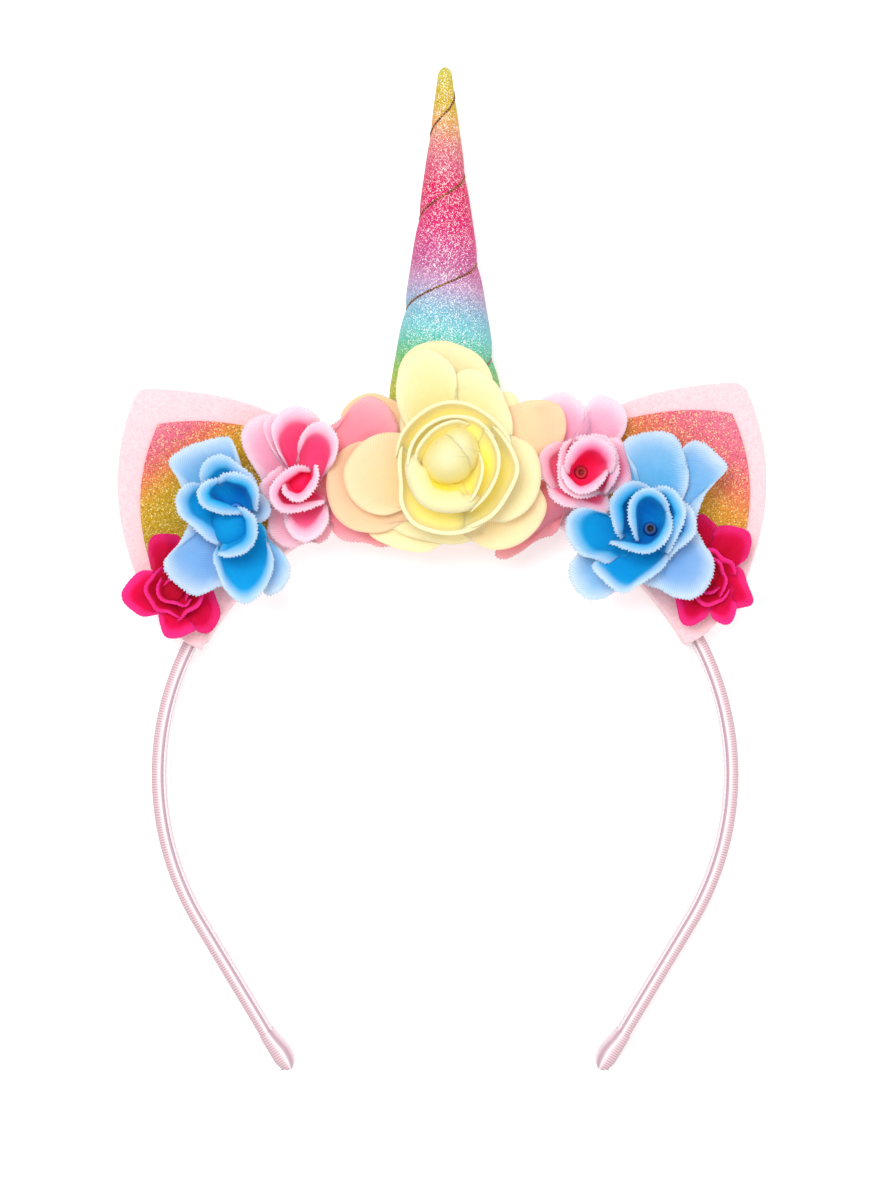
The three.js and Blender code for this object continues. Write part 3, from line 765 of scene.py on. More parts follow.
def horn_radius(y, turn):
    """Radius across the horn: a hollowed cone, tight under the thread and plump between its turns."""
    share = horn_share(y)
    cone = HORN_BASE_RADIUS + (HORN_TIP_RADIUS - HORN_BASE_RADIUS) * share
    cone = cone - HORN_HOLLOW * np.sin(math.pi * np.clip(share, 0, 1))
    past = (share - HORN_NOSE["start"]) / HORN_NOSE["length"]
    nose = np.sqrt(1 - np.clip(past, 0, HORN_NOSE["blunt"]) ** 2)
    laps = [np.abs(y - thread_height(lap + turn)) for lap in range(-1, 6)]
    near = np.min(laps, axis=0)
    crease = sum(depth * np.exp(-((near / width) ** 2)) for depth, width in HORN_CREASES)
    return cone * nose * (1 + HORN_PLUMP - crease)


def horn_depth(y):
    """The horn's depth over its width: pinched where it is sewn to the sleeve."""
    return 1 - HORN_PINCH["size"] * np.clip(1 - horn_share(y), 0, 1) ** HORN_PINCH["power"]


def build_horn():
    turn = np.arange(HORN_SIDES) / HORN_SIDES
    angle = FULL_TURN * turn
    loops = []
    tones = []
    for y in np.linspace(HORN_BASE_Y, HORN_TIP_Y, HORN_STEPS):
        radius = horn_radius(np.full(HORN_SIDES, y), turn)
        x = radius * np.cos(angle)
        z = HORN_AXIS_Z + radius * horn_depth(y) * np.sin(angle)
        loops.append(np.column_stack([x, np.full(HORN_SIDES, y), z]))
        tones.append((y + HORN_DYE["slant"] * x - HORN_DYE["start"]) / (HORN_TIP_Y - HORN_DYE["start"]))
    points, faces = loop_solid(loops)
    # Painted glints: more flakes are painted as catching the light where the horn faces up and down, fewer
    # on its sides
    painted_glint_bias = HORN_GLINT_SPREAD["size"] * (np.abs(np.sin(angle)) - HORN_GLINT_SPREAD["middle"])
    attributes = {"tone": np.concatenate(tones), "painted_glint_bias": np.tile(painted_glint_bias, HORN_STEPS)}
    horn = add_piece("horn_cloth", points, faces, HORN_GLITTER, ["horn"], attributes)


def build_thread():
    """A twisted metallic thread, wound round the horn in its creases from the tip to the foot."""
    sides = 10
    laps = np.linspace(**THREAD_LAPS)
    laps = laps[thread_height(laps) > HORN_BASE_Y + THREAD["foot"]]
    y = thread_height(laps)
    radius = horn_radius(y, laps % 1) + THREAD["sunk"] * THREAD["radius"]
    angle = FULL_TURN * laps
    z = HORN_AXIS_Z + radius * horn_depth(y) * np.sin(angle)
    path = np.column_stack([radius * np.cos(angle), y, z])
    ahead = unit(np.gradient(path, axis=0))
    out = path - np.column_stack([np.zeros_like(y), y, np.full_like(y, HORN_AXIS_Z)])
    out = unit(out - (out * ahead).sum(axis=1, keepdims=True) * ahead)
    beside = np.cross(ahead, out)
    length = path_lengths(path)
    loops = []
    around = np.linspace(0, FULL_TURN, sides, endpoint=False)
    for centre, outer, side, along in zip(path, out, beside, length):
        lobes = THREAD["radius"] * (1 + THREAD["lobe"] * np.cos(2 * around + THREAD["twist"] * along))
        raised = np.outer(lobes * np.cos(around), outer)
        loops.append(centre + raised + np.outer(lobes * np.sin(around), side))
    points, faces = loop_solid(loops)
    attributes = {"along": np.repeat(length, sides)}
    add_piece("horn_thread", points, faces, THREAD_METAL, attributes=attributes)


# Flowers

# How each cloth is cut and dyed: how far its threads stand out of the rim, the spacing of the points along
# the rim, how much wider than a layer's own its pale band is, and 1 if the second dye keeps to the deep part
RIMS = {
    "cream": dict(fray=0.0, spacing=0.60, pale=2.2, stain=0),
    "pink": dict(fray=0.25, spacing=0.36, pale=1.25, stain=0),
    "blue": dict(fray=0.25, spacing=0.36, pale=1.15, stain=1),
    "magenta": dict(fray=0.07, spacing=0.40, pale=1.0, stain=0),
}
WALL_STRIPS = 12
WALL_START = 0.01
RIM_STRIPS = 6
RIM_END = 6.0  # a petal's crest is at its full height this far in from the ends of its rim
END_ROLL = 0.3  # the share of a rolled rim's width that is left at its ends
RIM_LIFT = 0.4  # how far a bowl's rim rises as it rolls, as a share of its width
ROOT_RADIUS = HOLE_RADIUS - 0.15
ROOT_SHARE = 0.6  # a petal close to its pin starts this far out from it, as a share of the way to its crest
DOME_HOLE = 0.002
SIDE_FADE = dict(rim=0.5, pin=6.0)  # how much further than they are a petal's sides count as, for its dye
ROUND_BOWL = 0.9  # from here on a rim rolls square to its own line, and in flatter petals away from the pin
FADE_POWER = 1.85
PETAL_STEP = 0.12  # every second petal of a layer lies this much higher


def smooth_curve(points, spacing):
    """Evenly spaced points on a smooth curve through the given ones, and its length."""
    p = np.asarray(points, dtype=float)
    p = np.concatenate([[2 * p[0] - p[1]], p, [2 * p[-1] - p[-2]]])
    t = np.linspace(0, 1, 12, endpoint=False)[:, None]
    parts = []
    for a, b, c, d in zip(p[:-3], p[1:-2], p[2:-1], p[3:]):
        bend = (2 * a - 5 * b + 4 * c - d) * t**2 + (3 * b - a - 3 * c + d) * t**3
        parts.append(0.5 * (2 * b + (c - a) * t + bend))
    dense = np.concatenate(parts + [p[-2:-1]])
    length = path_lengths(dense)
    fewest = 25
    where = np.linspace(0, length[-1], max(fewest, int(length[-1] / spacing)))
    return np.column_stack([np.interp(where, length, dense[:, k]) for k in (0, 1)]), length[-1]


def frayed(columns, fray, rng):
    """Teeth along a rim: every second thread stands out, each a little differently."""
    teeth = np.where(np.arange(columns) % 2 == 0, 0.75, -0.75) + rng.uniform(-0.6, 0.6, columns)
    return fray * teeth


def ripple(distance, rng):
    """An uneven swing along a rim, between about -1 and 1."""
    slow = np.sin(distance / rng.uniform(1.8, 2.6) + rng.uniform(0, PHASES))
    quick = np.sin(distance / rng.uniform(0.8, 1.1) + rng.uniform(0, PHASES))
    return 0.7 * slow + 0.3 * quick


def petal_patch(rise, crown, flare, rim, layer, cloth, rng):
    """One petal as a grid of points: a wall from the pin to a crest along the rim, then the rolled rim.

    Also gives its tone, which is 1 at the cut edge and falls towards the pin, and its place on flat cloth.
    """
    edge = RIMS[cloth]
    bowl = layer["bowl"]
    dome = flare == 0
    outer, arc = smooth_curve(rim, edge["spacing"])
    columns = len(outer)
    share = np.linspace(0, 1, columns)
    inset = np.minimum(share, 1 - share) * arc
    full = np.sin(math.pi / 2 * np.clip(inset / min(RIM_END, arc / 3), 0, 1))
    roll = flare * (END_ROLL + (1 - END_ROLL) * full)
    if bowl < ROUND_BOWL:
        out = unit(outer)
    else:
        ahead = unit(np.gradient(outer, axis=0))
        out = np.column_stack([ahead[:, 1], -ahead[:, 0]])
    crest = outer - out * roll[:, None]
    if "crumple" in layer and not dome:
        crest = crest + out * (layer["crumple"] * full * ripple(share * arc, rng))[:, None]
    if dome:
        middle = outer.mean(axis=0)
        root = middle + DOME_HOLE * (crest - middle)
    else:
        away = np.linalg.norm(crest, axis=1, keepdims=True)
        root = crest / away * np.minimum(ROOT_RADIUS, ROOT_SHARE * away)
    uneven = layer["wave"] * ripple(share * arc, rng)
    top = np.full(columns, rise) if dome else rise * (layer["ends"] + (1 - layer["ends"]) * full) + uneven

    # The wall: flat at the pin and steep at the crest in a bowl, or straight in an open petal
    wall = np.concatenate([[0.0], np.linspace(WALL_START, 1, WALL_STRIPS - 1)])[:, None]
    run = (1 - bowl) * wall + bowl * np.sin(math.pi / 2 * wall)
    climb = (1 - bowl) * wall + bowl * (1 - np.cos(math.pi / 2 * wall))
    plan = root + (crest - root) * run[..., None]
    beside_pin = np.column_stack([-outer[:, 1], outer[:, 0]]) * ((2 * share - 1) ** 3)[:, None]
    plan += layer["heel"] * np.sin(math.pi * wall)[..., None] * beside_pin
    height = top * climb + crown * (1 if dome else np.sin(math.pi * wall))
    wall_length = np.linalg.norm(crest - root, axis=1) + np.abs(top) * bowl
    inside = roll + (1 - wall) * wall_length

    # The rim rolls over the crest and out to the cut edge
    lip = np.linspace(0, 1, RIM_STRIPS)[1:, None]
    over = bowl * (1 - np.cos(math.pi / 2 * lip)) + (1 - bowl) * lip
    rim_plan = crest + out * (roll * over)[..., None]
    rim_height = height[-1] + roll * (RIM_LIFT * bowl * np.sin(math.pi / 2 * lip) - layer["drop"] * lip**2)
    rim_plan[-1] += out * frayed(columns, edge["fray"], rng)[:, None]
    plan = np.concatenate([plan, rim_plan])
    height = np.concatenate([height, rim_height]) + layer["height"]

    # The dye fades with the distance from the nearest cut edge
    down = np.concatenate([inside, (1 - lip) * roll])
    reached = np.concatenate([run, np.ones_like(lip)])
    across = reached * inset + SIDE_FADE["rim"] + SIDE_FADE["pin"] * (1 - reached)
    from_edge = np.minimum(down, across)
    pale = layer["pale"] * edge["pale"]
    tone = layer["floor"] + (1 - layer["floor"]) / (1 + (from_edge / pale) ** FADE_POWER)
    if dome:
        tone = layer["floor"] + layer["crown_tone"] * (1 - reached) * np.ones(columns)

    # The cloth's threads lie askew to the petal
    bias = rng.uniform(0.4, 1.2)
    along = np.broadcast_to(share * arc, down.shape)
    warp = along * math.cos(bias) - down * math.sin(bias)
    weft = along * math.sin(bias) + down * math.cos(bias)
    return np.dstack([plan, height]), tone, np.stack([warp, weft], axis=-1)


# How a layer's petals stand: bowl is 0 for a straight petal and 1 for a quarter round, ends is the share of
# the rise left at a rim's two ends, heel widens a petal's waist, drop turns the rim down, wave ripples it up
# and down and crumple in and out. The pale band along the rim has a width in mm, floor is the tone that the
# petal's middle falls to, and crown_tone is how much paler the middle of a dome is.
LOOKS = {
    "back": dict(bowl=0.3, ends=0.5, heel=0.22, drop=0.05, wave=0.30, pale=2.8, floor=0.68),
    "bowl": dict(bowl=0.7, ends=0.4, heel=0.18, drop=0.0, wave=0.30, pale=2.2, floor=0.25),
    "lip": dict(bowl=1.0, ends=0.6, heel=0.0, drop=0.05, wave=0.30, pale=1.4, floor=0.10,
                crown_tone=0.15),
    "crumpled": dict(bowl=0.3, ends=0.6, heel=0.22, drop=0.30, wave=0.90, pale=3.0, floor=0.10,
                     crumple=0.25),
}


def whorl(name, look, height, rows, **changes):
    """One layer of petals at a height above the middle of the pin's foot.

    Each row is a petal, with five columns: how far its crest rises, how far its middle arches, the width of
    its rolled rim, its tint, and the rim's points, anticlockwise about the pin. No rolled rim makes a dome.
    """
    return dict(name=name, height=height, rows=rows, **{**LOOKS[look], **changes})


CREAM_ROSE = [
    whorl("back_petals", "back", 8.5, [
        (-1, 1, 3, 0.85, [(-10, 16), (-15, 18.8), (-19, 19.6), (-23, 17.6), (-25, 14), (-23, 10), (-18, 7)]),
        (1, 1, 3, 0.8, [(17, 4), (22, 6.5), (24.2, 11), (23.6, 15.6), (21, 17.6), (16, 17.7), (11, 16)]),
        (0.5, 1, 3, 0.15, [(12, 11), (14.2, 15), (13.6, 18.4), (12, 19.7), (10, 19.4), (7, 17)]),
        (-0.5, 1, 3, 0.1, [(-14, -7), (-18.8, -11), (-14, -14.2), (-7.6, -15.5), (-3.6, -14.2), (-1, -11)]),
    ], floor=0.66),
    whorl("outer_petals", "back", 10.0, [
        (0.5, 1, 4, 0.15, [(9, 19), (7.4, 24.6), (4, 28.4), (-3, 30.7), (-9.4, 29), (-12.4, 24), (-12, 18)]),
        (-0.5, 1, 4, 0.8, [(-16, 9.5), (-22.5, 8), (-26.6, 4.6), (-28, -1), (-26.4, -7.2), (-22, -10.8),
            (-16, -11.3), (-11, -9)]),
        (-0.5, 1, 4, 0.05, [(-11, -6), (-14.4, -9.2), (-11, -11.8), (-5, -13.4), (0, -13.9), (5, -12.6),
            (8, -9)]),
        (0, 1, 4, 0.35, [(2, -12), (6.4, -14.7), (10.6, -15), (15, -13.2), (18.6, -9.4), (19.9, -5),
            (17.5, 0)]),
    ], floor=0.66),
    whorl("middle_petals", "back", 11.7, [
        (0.6, 1, 4, 0, [(12, 7), (12.5, 12), (11.2, 16.6), (8.6, 21.4), (4, 24.2), (0, 23), (-2.6, 19),
            (-3, 14)]),
        (1.5, 1.2, 4, 0, [(-1, 15), (0.2, 20.4), (-0.8, 25), (-5.6, 28.4), (-10, 27), (-12.6, 22),
            (-12.6, 16), (-10.5, 11)]),
        (1, 1.2, 4, 0.5, [(-10, 10), (-15.6, 10), (-20.4, 7.8), (-24, 2.6), (-23.4, -2.8), (-20.4, -6.4),
            (-15.6, -8), (-11, -6.5)]),
        (1.5, 1, 4, 0.1, [(6, -9), (11, -9.4), (15.4, -7), (18, -3), (18.5, 2.4), (16.6, 7.2), (11.5, 10)]),
    ], floor=0.66),
    whorl("cup", "lip", 13.3, [
        (6.6, 0, 0.6, 0, [(12.2, 4.6), (11.4, 8.4), (8.4, 12), (4.4, 14.8), (0, 16), (-4.8, 15.2),
            (-9, 12.4), (-12, 8.6), (-13.1, 4)]),
        (5.4, 0, 0.8, 0, [(-11.6, 8), (-12.5, 3), (-12.2, -2), (-12, -6.4), (-9.6, -10.4), (-5.5, -12.4),
            (-1, -13), (3.4, -12), (7, -9.6)]),
        (6.2, 0, 0.8, 0, [(0.5, -12.2), (5.4, -10.6), (9, -8), (12.2, -3), (13.6, 1), (12.8, 4.6),
            (10.6, 8.4), (7.2, 12)]),
    ], drop=0.4, pale=2.2, floor=0.40),
    whorl("roll", "lip", 15.6, [
        (6, 0, 0.6, 0, [(8.5, 8.2), (5, 11.5), (1, 12.7), (-3, 12.3), (-6.5, 10.5), (-9, 7.8), (-10.4, 4.4),
            (-10.6, 0)]),
        (5.4, 0, 4.6, 0, [(-9.8, 5), (-10.9, 1.8), (-10.2, -2.4), (-8.2, -6), (-4.8, -8), (-0.6, -8.4),
            (3, -7.6), (5.6, -5)]),
        (6.2, 0, 0.6, 0, [(3.2, -8.2), (6.6, -5), (8.8, -1), (9.5, 2.4), (9.1, 5.4), (7.6, 8.4), (5.2, 11)]),
        (6.4, 0, 0.5, 0, [(3, 11), (0, 11.6), (-4, 10.3), (-7, 7.6), (-8.8, 4.3), (-8.5, 1.3)]),
        (6.4, 0, 0.5, 0, [(1.4, -7.4), (4, -5), (5.6, -1.2), (5.9, 2), (5, 5)]),
    ], drop=0.5, pale=1.9, floor=0.20),
    whorl("bud", "lip", 23.6, [
        (-5, -0.9, 0, 0, [(5.2, 5), (3.8, 8.8), (0.6, 10.6), (-2.4, 9.4), (-4, 5.6), (-2.6, 2), (0.6, 0.6),
            (3.8, 1.6), (5.2, 5)]),
        (-5.4, 0, 0, 0, [(3.8, 3.4), (2.6, 6.8), (-0.8, 9), (-4.2, 8), (-6.8, 4.6), (-7, 1.6), (-5, -1),
            (-1.2, -1.7), (2.4, -0.2), (3.8, 3.4)]),
    ], floor=0.62, crown_tone=0.38),
]

PINK_ROSE_LEFT = [
    whorl("back_petals", "back", 2.9, [
        (5, 1, 4, 0.62, [(19.6, 8), (20.8, 11.5), (20, 15), (17.4, 18.2), (14, 19.2), (11, 17.4),
            (8.6, 14.6), (5.6, 12.6)]),
        (2, 0.5, 3, 0.05, [(-5, 15.6), (-9, 15.4), (-12.4, 13.4), (-13.5, 10.4), (-12.4, 6.8), (-10.4, 3.4),
            (-8.6, 0.6)]),
        (3, 0.5, 3, 0, [(-2.6, 15), (-6.4, 15.6), (-8.6, 13.4), (-8.2, 10.8), (-6.8, 8), (-5, 5)]),
        (1, 0.5, 2, 0.25, [(-7.4, -6), (-7.6, -10), (-5.2, -12.8), (-2.4, -13.6), (0.6, -12.6), (3, -12.2)]),
        (0.5, 0.5, 2, 0.4, [(0, -11), (3.2, -12.7), (5.6, -11.2), (6.6, -8.4)]),
        (0, 0.5, 3, 0.62, [(5.4, -6), (6.8, -10.4), (9.6, -12.2), (13.4, -12.4), (17, -13.4), (20.4, -12.4),
            (20, -8)]),
    ]),
    whorl("middle_petals", "bowl", 4.7, [
        (4, 0, 3.4, 0, [(4.8, 12.6), (2.6, 15.6), (-0.8, 17.1), (-4.2, 16.2), (-6.6, 13), (-6.2, 9.6),
            (-4.6, 6), (-3, 3.6)]),
        (3.6, 0, 3.2, 0, [(-4.2, -5.6), (-3.7, -9), (-1.6, -11.7), (1.2, -12.4), (4, -10.8), (5.7, -8),
            (5.6, -4.6)]),
        (3, 0, 2.4, 0, [(-4.6, 4.4), (-7.6, 2.2), (-9.4, -0.2), (-8.6, -2.4), (-6.4, -4.4)]),
        (5.4, 0, 2.6, 0, [(5, 2.4), (7, 5), (8, 8.5), (7.2, 11.6), (4.6, 13.6), (2, 13.2), (0.2, 11.2),
            (-0.9, 8.6), (-0.8, 6)]),
    ]),
    whorl("cup", "lip", 5.5, [
        (6.2, 0, 2, 0, [(2, 3.4), (-0.8, 4.3), (-3.6, 3.1), (-6.2, 0.6), (-7.1, -2.4), (-5.6, -5.3),
            (-3, -6.3), (0.8, -5.7), (5, -3.9)]),
    ]),
    whorl("heart", "lip", 7.0, [
        (-0.5, 1.2, 0, 0, [(2.8, 0.8), (1.2, 2.6), (-1.4, 2.4), (-3, 0.2), (-1.6, -1.8), (0.8, -1.8),
            (2.8, 0.8)]),
        (6.4, 0, 1.8, 0, [(-4.4, 0.4), (-3.8, -2.2), (-1.6, -3.8), (0.8, -3.4), (2.7, -1.4), (3.9, 1.2),
            (3.3, 4.4)]),
    ], floor=0.05),
]

PINK_ROSE_RIGHT = [
    whorl("back_petals", "back", 2.9, [
        (2, 0.5, 3, 0, [(8, 6), (10, 9), (10.8, 12.4), (9.4, 15.4), (7, 16.7), (4.6, 17.4), (2, 15.6),
            (1, 11)]),
        (1, 0.5, 3.4, 0, [(4.6, 6), (4.3, 10), (2.6, 13.4), (0.4, 16), (-2.6, 17.8), (-5.6, 17.5),
            (-8.4, 15.6), (-9, 12), (-7, 7)]),
        (-5.5, 1, 4, 0.62, [(-8.4, -1), (-13, -8), (-17.4, -16.6), (-15.4, -18.3), (-12, -16.8), (-8, -14),
            (-4, -12.4), (-2.6, -8)]),
    ]),
    whorl("middle_petals", "bowl", 4.4, [
        (3.2, 0, 3.4, 0, [(4.4, -5), (8, -4), (11, -1.8), (12.1, 1.4), (10.8, 5), (8, 7.4), (4, 7.6)]),
        (3, 0, 2.6, 0.25, [(-3, 6.8), (-6.6, 6.2), (-9.2, 4), (-9.5, 1), (-8.6, -1.4), (-6, -4)]),
        (3, 0, 2.4, 0, [(-7.4, -2.6), (-6.8, -5.8), (-3.8, -7.7), (0, -8.2), (4.6, -9.3), (6.2, -7.6),
            (6, -4.4)]),
    ]),
    whorl("cup", "lip", 5.5, [
        (5.4, 0, 1.8, 0, [(-2.6, 7.2), (-5, 5), (-5.9, 2), (-6, -1.2), (-5.3, -4), (-2.8, -5.9), (1, -6),
            (4, -4.6)]),
        (5.4, 0, 2, 0, [(5.2, -5), (7.2, -1.8), (7.7, 1), (7, 4.6), (5, 7.2), (2, 7.9), (-1.6, 7.4)]),
    ]),
    whorl("heart", "lip", 7.0, [
        (6.4, 0, 2.9, 0, [(6.2, -0.8), (6.6, 2.4), (5.2, 5.2), (2.4, 6.9), (-1, 6.6), (-3.8, 4.4),
            (-4.7, 1.4), (-4.2, -1)]),
        (6, 0, 1.8, 0, [(-5, 1.4), (-5.4, -1.6), (-4, -4.2), (-1.4, -5.6), (1.6, -4.8), (3.8, -2.8),
            (5.7, 0.2)]),
    ], floor=0.05),
]

BLUE_ROSE_LEFT = [
    whorl("back_petals", "back", 5.2, [
        (3, 0.5, 4, 0.1, [(1.4, 7.6), (0.3, 12), (-1.2, 15.4), (-3, 15.9), (-7, 15), (-11, 13.6),
            (-14.7, 10.6), (-13, 7), (-11, 3)]),
        (2, 0.5, 4, 0.5, [(-10, -2), (-12.4, -7), (-15.8, -11.2), (-14.6, -14.8), (-9.6, -18.6), (-6.6, -18),
            (-4.5, -17), (-1.6, -16)]),
        (1.5, 0.5, 4, 0.05, [(4, -16), (6.6, -18.5), (9.8, -17.4), (11.7, -13.5), (10.6, -10), (8.2, -7.6),
            (5.6, -5)]),
        (3, 0.5, 2, 0.2, [(4.8, -3), (7, -1.6), (7.5, 0.8), (6, 3.2), (3.8, 4.4)]),
    ]),
    whorl("middle_petals", "bowl", 6.8, [
        (3.4, 0, 2.6, 0, [(-3, -7), (-4.9, -10), (-4, -13.6), (-2.2, -17.6), (1.5, -20.4), (5, -18.8),
            (7.4, -15), (8.2, -11), (6.8, -7)]),
        (4, 0, 3, 0, [(5.2, 4.2), (3.8, 7.2), (1.2, 9.4), (-2.6, 11.8), (-6, 11), (-7.9, 8), (-7.2, 4.8)]),
        (4, 0, 2.8, 0, [(-6.8, 5.6), (-10.6, 5.6), (-13, 2.6), (-12.3, -1), (-9.6, -3.6), (-7, -6),
            (-4.5, -7.5), (-2.4, -7.2)]),
    ]),
    whorl("cup", "lip", 7.7, [
        (6, 0, 2.4, 0, [(4.7, -0.4), (5.3, 3), (4.6, 5.6), (2.8, 7.2), (0, 8), (-2.4, 7.7), (-4.4, 6)]),
        (7, 0, 2.6, 0, [(-3.6, 7), (-6.6, 5.8), (-8.1, 3.4), (-7, 0.6), (-4.5, -0.7), (-1.5, -1.3),
            (2, -1.1)]),
    ], floor=0.05),
    whorl("heart", "lip", 9.0, [
        (-3, 3.2, 0, 0, [(3.6, -2.8), (2.4, -0.2), (-0.6, 1), (-3.6, 0), (-5.1, -3), (-4.2, -6.4),
            (-1.4, -8.2), (1.8, -7.4), (3.6, -5), (3.6, -2.8)]),
        (5.6, 0, 2.4, 0, [(-3.8, -10), (-1, -10.4), (2.4, -9.4), (4.6, -7), (5, -4), (4.4, -1.6), (2.6, 0),
            (0.6, 0.8)]),
    ], floor=0.25),
]

BLUE_ROSE_RIGHT = [
    whorl("back_petals", "back", 5.2, [
        (2, 0.5, 4, 0.2, [(10, 2), (12, 7.4), (14.6, 10.6), (17, 13.6), (15.4, 16), (12.6, 18.6),
            (9.8, 19.6), (6.6, 17), (5, 11)]),
        (3, 0.5, 5, 0, [(6.8, 5.6), (8.3, 9.5), (8.4, 13), (7, 18), (5, 20.8), (1.4, 21.5), (-2.6, 20.8),
            (-5.6, 19), (-4.4, 15.6), (-2.9, 13), (-3.4, 9)]),
        (1, 0.5, 4, 0.05, [(-13.5, -3), (-17, -6.8), (-17.6, -10), (-15.4, -13.8), (-12.6, -15.3),
            (-9.4, -14.6), (-6, -12)]),
        (2, 0.5, 4, 0.5, [(-3, -11), (2, -13), (5, -14.6), (8.6, -15.2), (11.8, -13.4), (13.9, -9.4),
            (13.6, -6), (11.6, -2.6), (10, 1)]),
    ]),
    whorl("middle_petals", "bowl", 6.8, [
        (3, 0, 3.6, 0, [(-8, 2.6), (-12, 4), (-15.4, 4.5), (-18.2, 2), (-18, -2), (-15.6, -5.6), (-12, -6.7),
            (-9.4, -7.6), (-7, -6)]),
        (4, 0, 2, 0, [(-10.6, -6), (-12.7, -8.4), (-10.2, -11.6), (-7.6, -13.7), (-5.4, -14.1),
            (-2.6, -12.4), (1.2, -10), (3.2, -8), (4.6, -5)]),
        (4.2, 0, 2.8, 0, [(3.2, -7.6), (5.6, -5), (7.6, -3.6), (9.6, -1.4), (10, 1), (9.2, 3.8), (7.2, 6),
            (5, 6.6)]),
    ]),
    whorl("cup", "lip", 7.7, [
        (5.4, 0, 3, 0, [(1, 8.2), (-2, 9.7), (-4.4, 9.8), (-7, 8.4), (-9, 5.4), (-8.8, 2), (-7.6, -1.4),
            (-6.4, -2.6)]),
        (5.8, 0, 2.4, 0, [(3.8, -5.6), (5.6, -2.4), (7, 0.8), (7.5, 3.2), (6.4, 6.2), (4.2, 8.6), (1, 9)]),
    ]),
    whorl("heart", "lip", 9.0, [
        (6, 0, 1.8, 0, [(4.3, 2.6), (3.2, 6), (0.6, 8.1), (-2.4, 7.9), (-4.6, 5.8), (-5.2, 2.6),
            (-4.5, -0.6), (-3.2, -3.2)]),
        (6.2, 0, 2, 0, [(-9, -3.5), (-6.8, -4.6), (-3.4, -5.9), (0, -5.8), (2.8, -3.8), (4.4, -0.8),
            (4.4, 2), (3.8, 3.8)]),
    ], floor=0.05),
]

# The closed middle of both magenta roses
MAGENTA_KNOT = (-0.4, 1.4, 0, 0.3, [
    (2.4, 0.6), (1, 2.2), (-1.2, 2), (-2.4, 0.2), (-1.4, -1.7), (0.8, -1.6), (2.4, 0.6),
])

MAGENTA_ROSE_LEFT = [
    whorl("back_petals", "crumpled", 2.1, [
        (1.2, 1, 2, 0, [(-4, 4.6), (-7.6, 4.6), (-10.2, 2.6), (-11.5, -0.6), (-10.4, -3.4), (-7.4, -5.4),
            (-4, -5)]),
        (0.6, 1, 2, 0.5, [(2, 8), (0.8, 12), (-1.4, 12.9), (-4.4, 12.5), (-5.7, 11), (-5.9, 8), (-5.4, 5)]),
        (0.8, 1, 2, 0.3, [(2, -5), (4.4, -8.4), (6.9, -9), (8.8, -7.2), (9.6, -4.6), (9.2, -2), (8, 0.6),
            (5, 1)]),
        (1.4, 1, 2, 0, [(-3.9, -3.8), (-3.3, -7), (-2.4, -9.3), (-0.6, -10), (2, -9.7), (4.6, -8.2),
            (4, -5)]),
    ]),
    whorl("cup", "lip", 3.6, [
        (2.4, 0, 0.8, 0, [(-3, 5.6), (-5.6, 3.4), (-5.8, 0), (-4.2, -3.6), (-1.4, -5.2), (1, -5.8)]),
        (2.2, 0, 0.8, 0, [(0.6, -6.4), (2.2, -5.8), (4.4, -4.2), (5.8, -2.6), (6, 0), (4, 3)]),
    ], wave=0.8, crumple=0.9),
    whorl("heart", "lip", 4.6, [
        MAGENTA_KNOT,
        (2.2, 0, 0.6, 0, [(-3, 3), (-3.6, 1), (-2.8, -1.4), (-0.6, -3.3), (2.4, -3.4), (3.8, -1.6)]),
        (1.8, 0, 0.6, 0, [(2.6, -2), (3, 0.6), (1.6, 2.8), (-1, 3.2), (-2.6, 1.4)]),
    ], wave=0.7, crumple=0.8),
]

MAGENTA_ROSE_RIGHT = [
    whorl("back_petals", "crumpled", 2.1, [
        (0.2, 1, 2, 0.6, [(3, 6), (2.4, 10.4), (1, 12.4), (-0.8, 13.8), (-2.4, 13), (-2, 10), (-1.4, 7)]),
        (0.6, 1, 2, 0.2, [(4.6, -7.6), (7.5, -6.8), (9.5, -6.2), (10, -4.6), (8.8, -0.8), (7.4, 1.8),
            (4.6, 3)]),
        (0.4, 1, 2, 0.1, [(-7, -3.4), (-6.8, -6.4), (-5.4, -10), (-3.6, -10.8), (-1.6, -9.8), (0.2, -8.5),
            (1, -6)]),
        (1, 1, 2, 0, [(0.4, -7), (1.4, -9.4), (4, -10.7), (5.6, -10), (6.2, -8), (6.4, -5)]),
        (1.6, 1, 2, 0.3, [(6.4, 2), (8.8, 4.2), (9.5, 7.4), (8.8, 9.8), (6.5, 11), (3.6, 11.2), (1.6, 10),
            (0.6, 6)]),
    ]),
    whorl("cup", "lip", 3.6, [
        (2.2, 0, 1, 0, [(6.2, 0.4), (6, 2.6), (4.4, 4.4), (1.4, 5.6), (-2, 5), (-4, 2.6)]),
        (2, 0, 0.8, 0, [(-4.6, 1), (-4.6, -2.6), (-2.4, -5.2), (0.8, -6), (3.4, -6), (4.8, -3)]),
    ], wave=0.8, crumple=0.9),
    whorl("heart", "lip", 4.6, [
        MAGENTA_KNOT,
        (2.2, 0, 0.6, 0, [(2.6, -4.6), (3.6, -2.6), (4.4, 0), (3.4, 2.6), (1, 3.6), (-1.6, 3)]),
        (1.8, 0, 0.6, 0, [(-3.2, 1.4), (-3.4, -1), (-1.8, -3.2), (0.6, -3.6), (2.6, -2.6)]),
    ], wave=0.7, crumple=0.8),
]

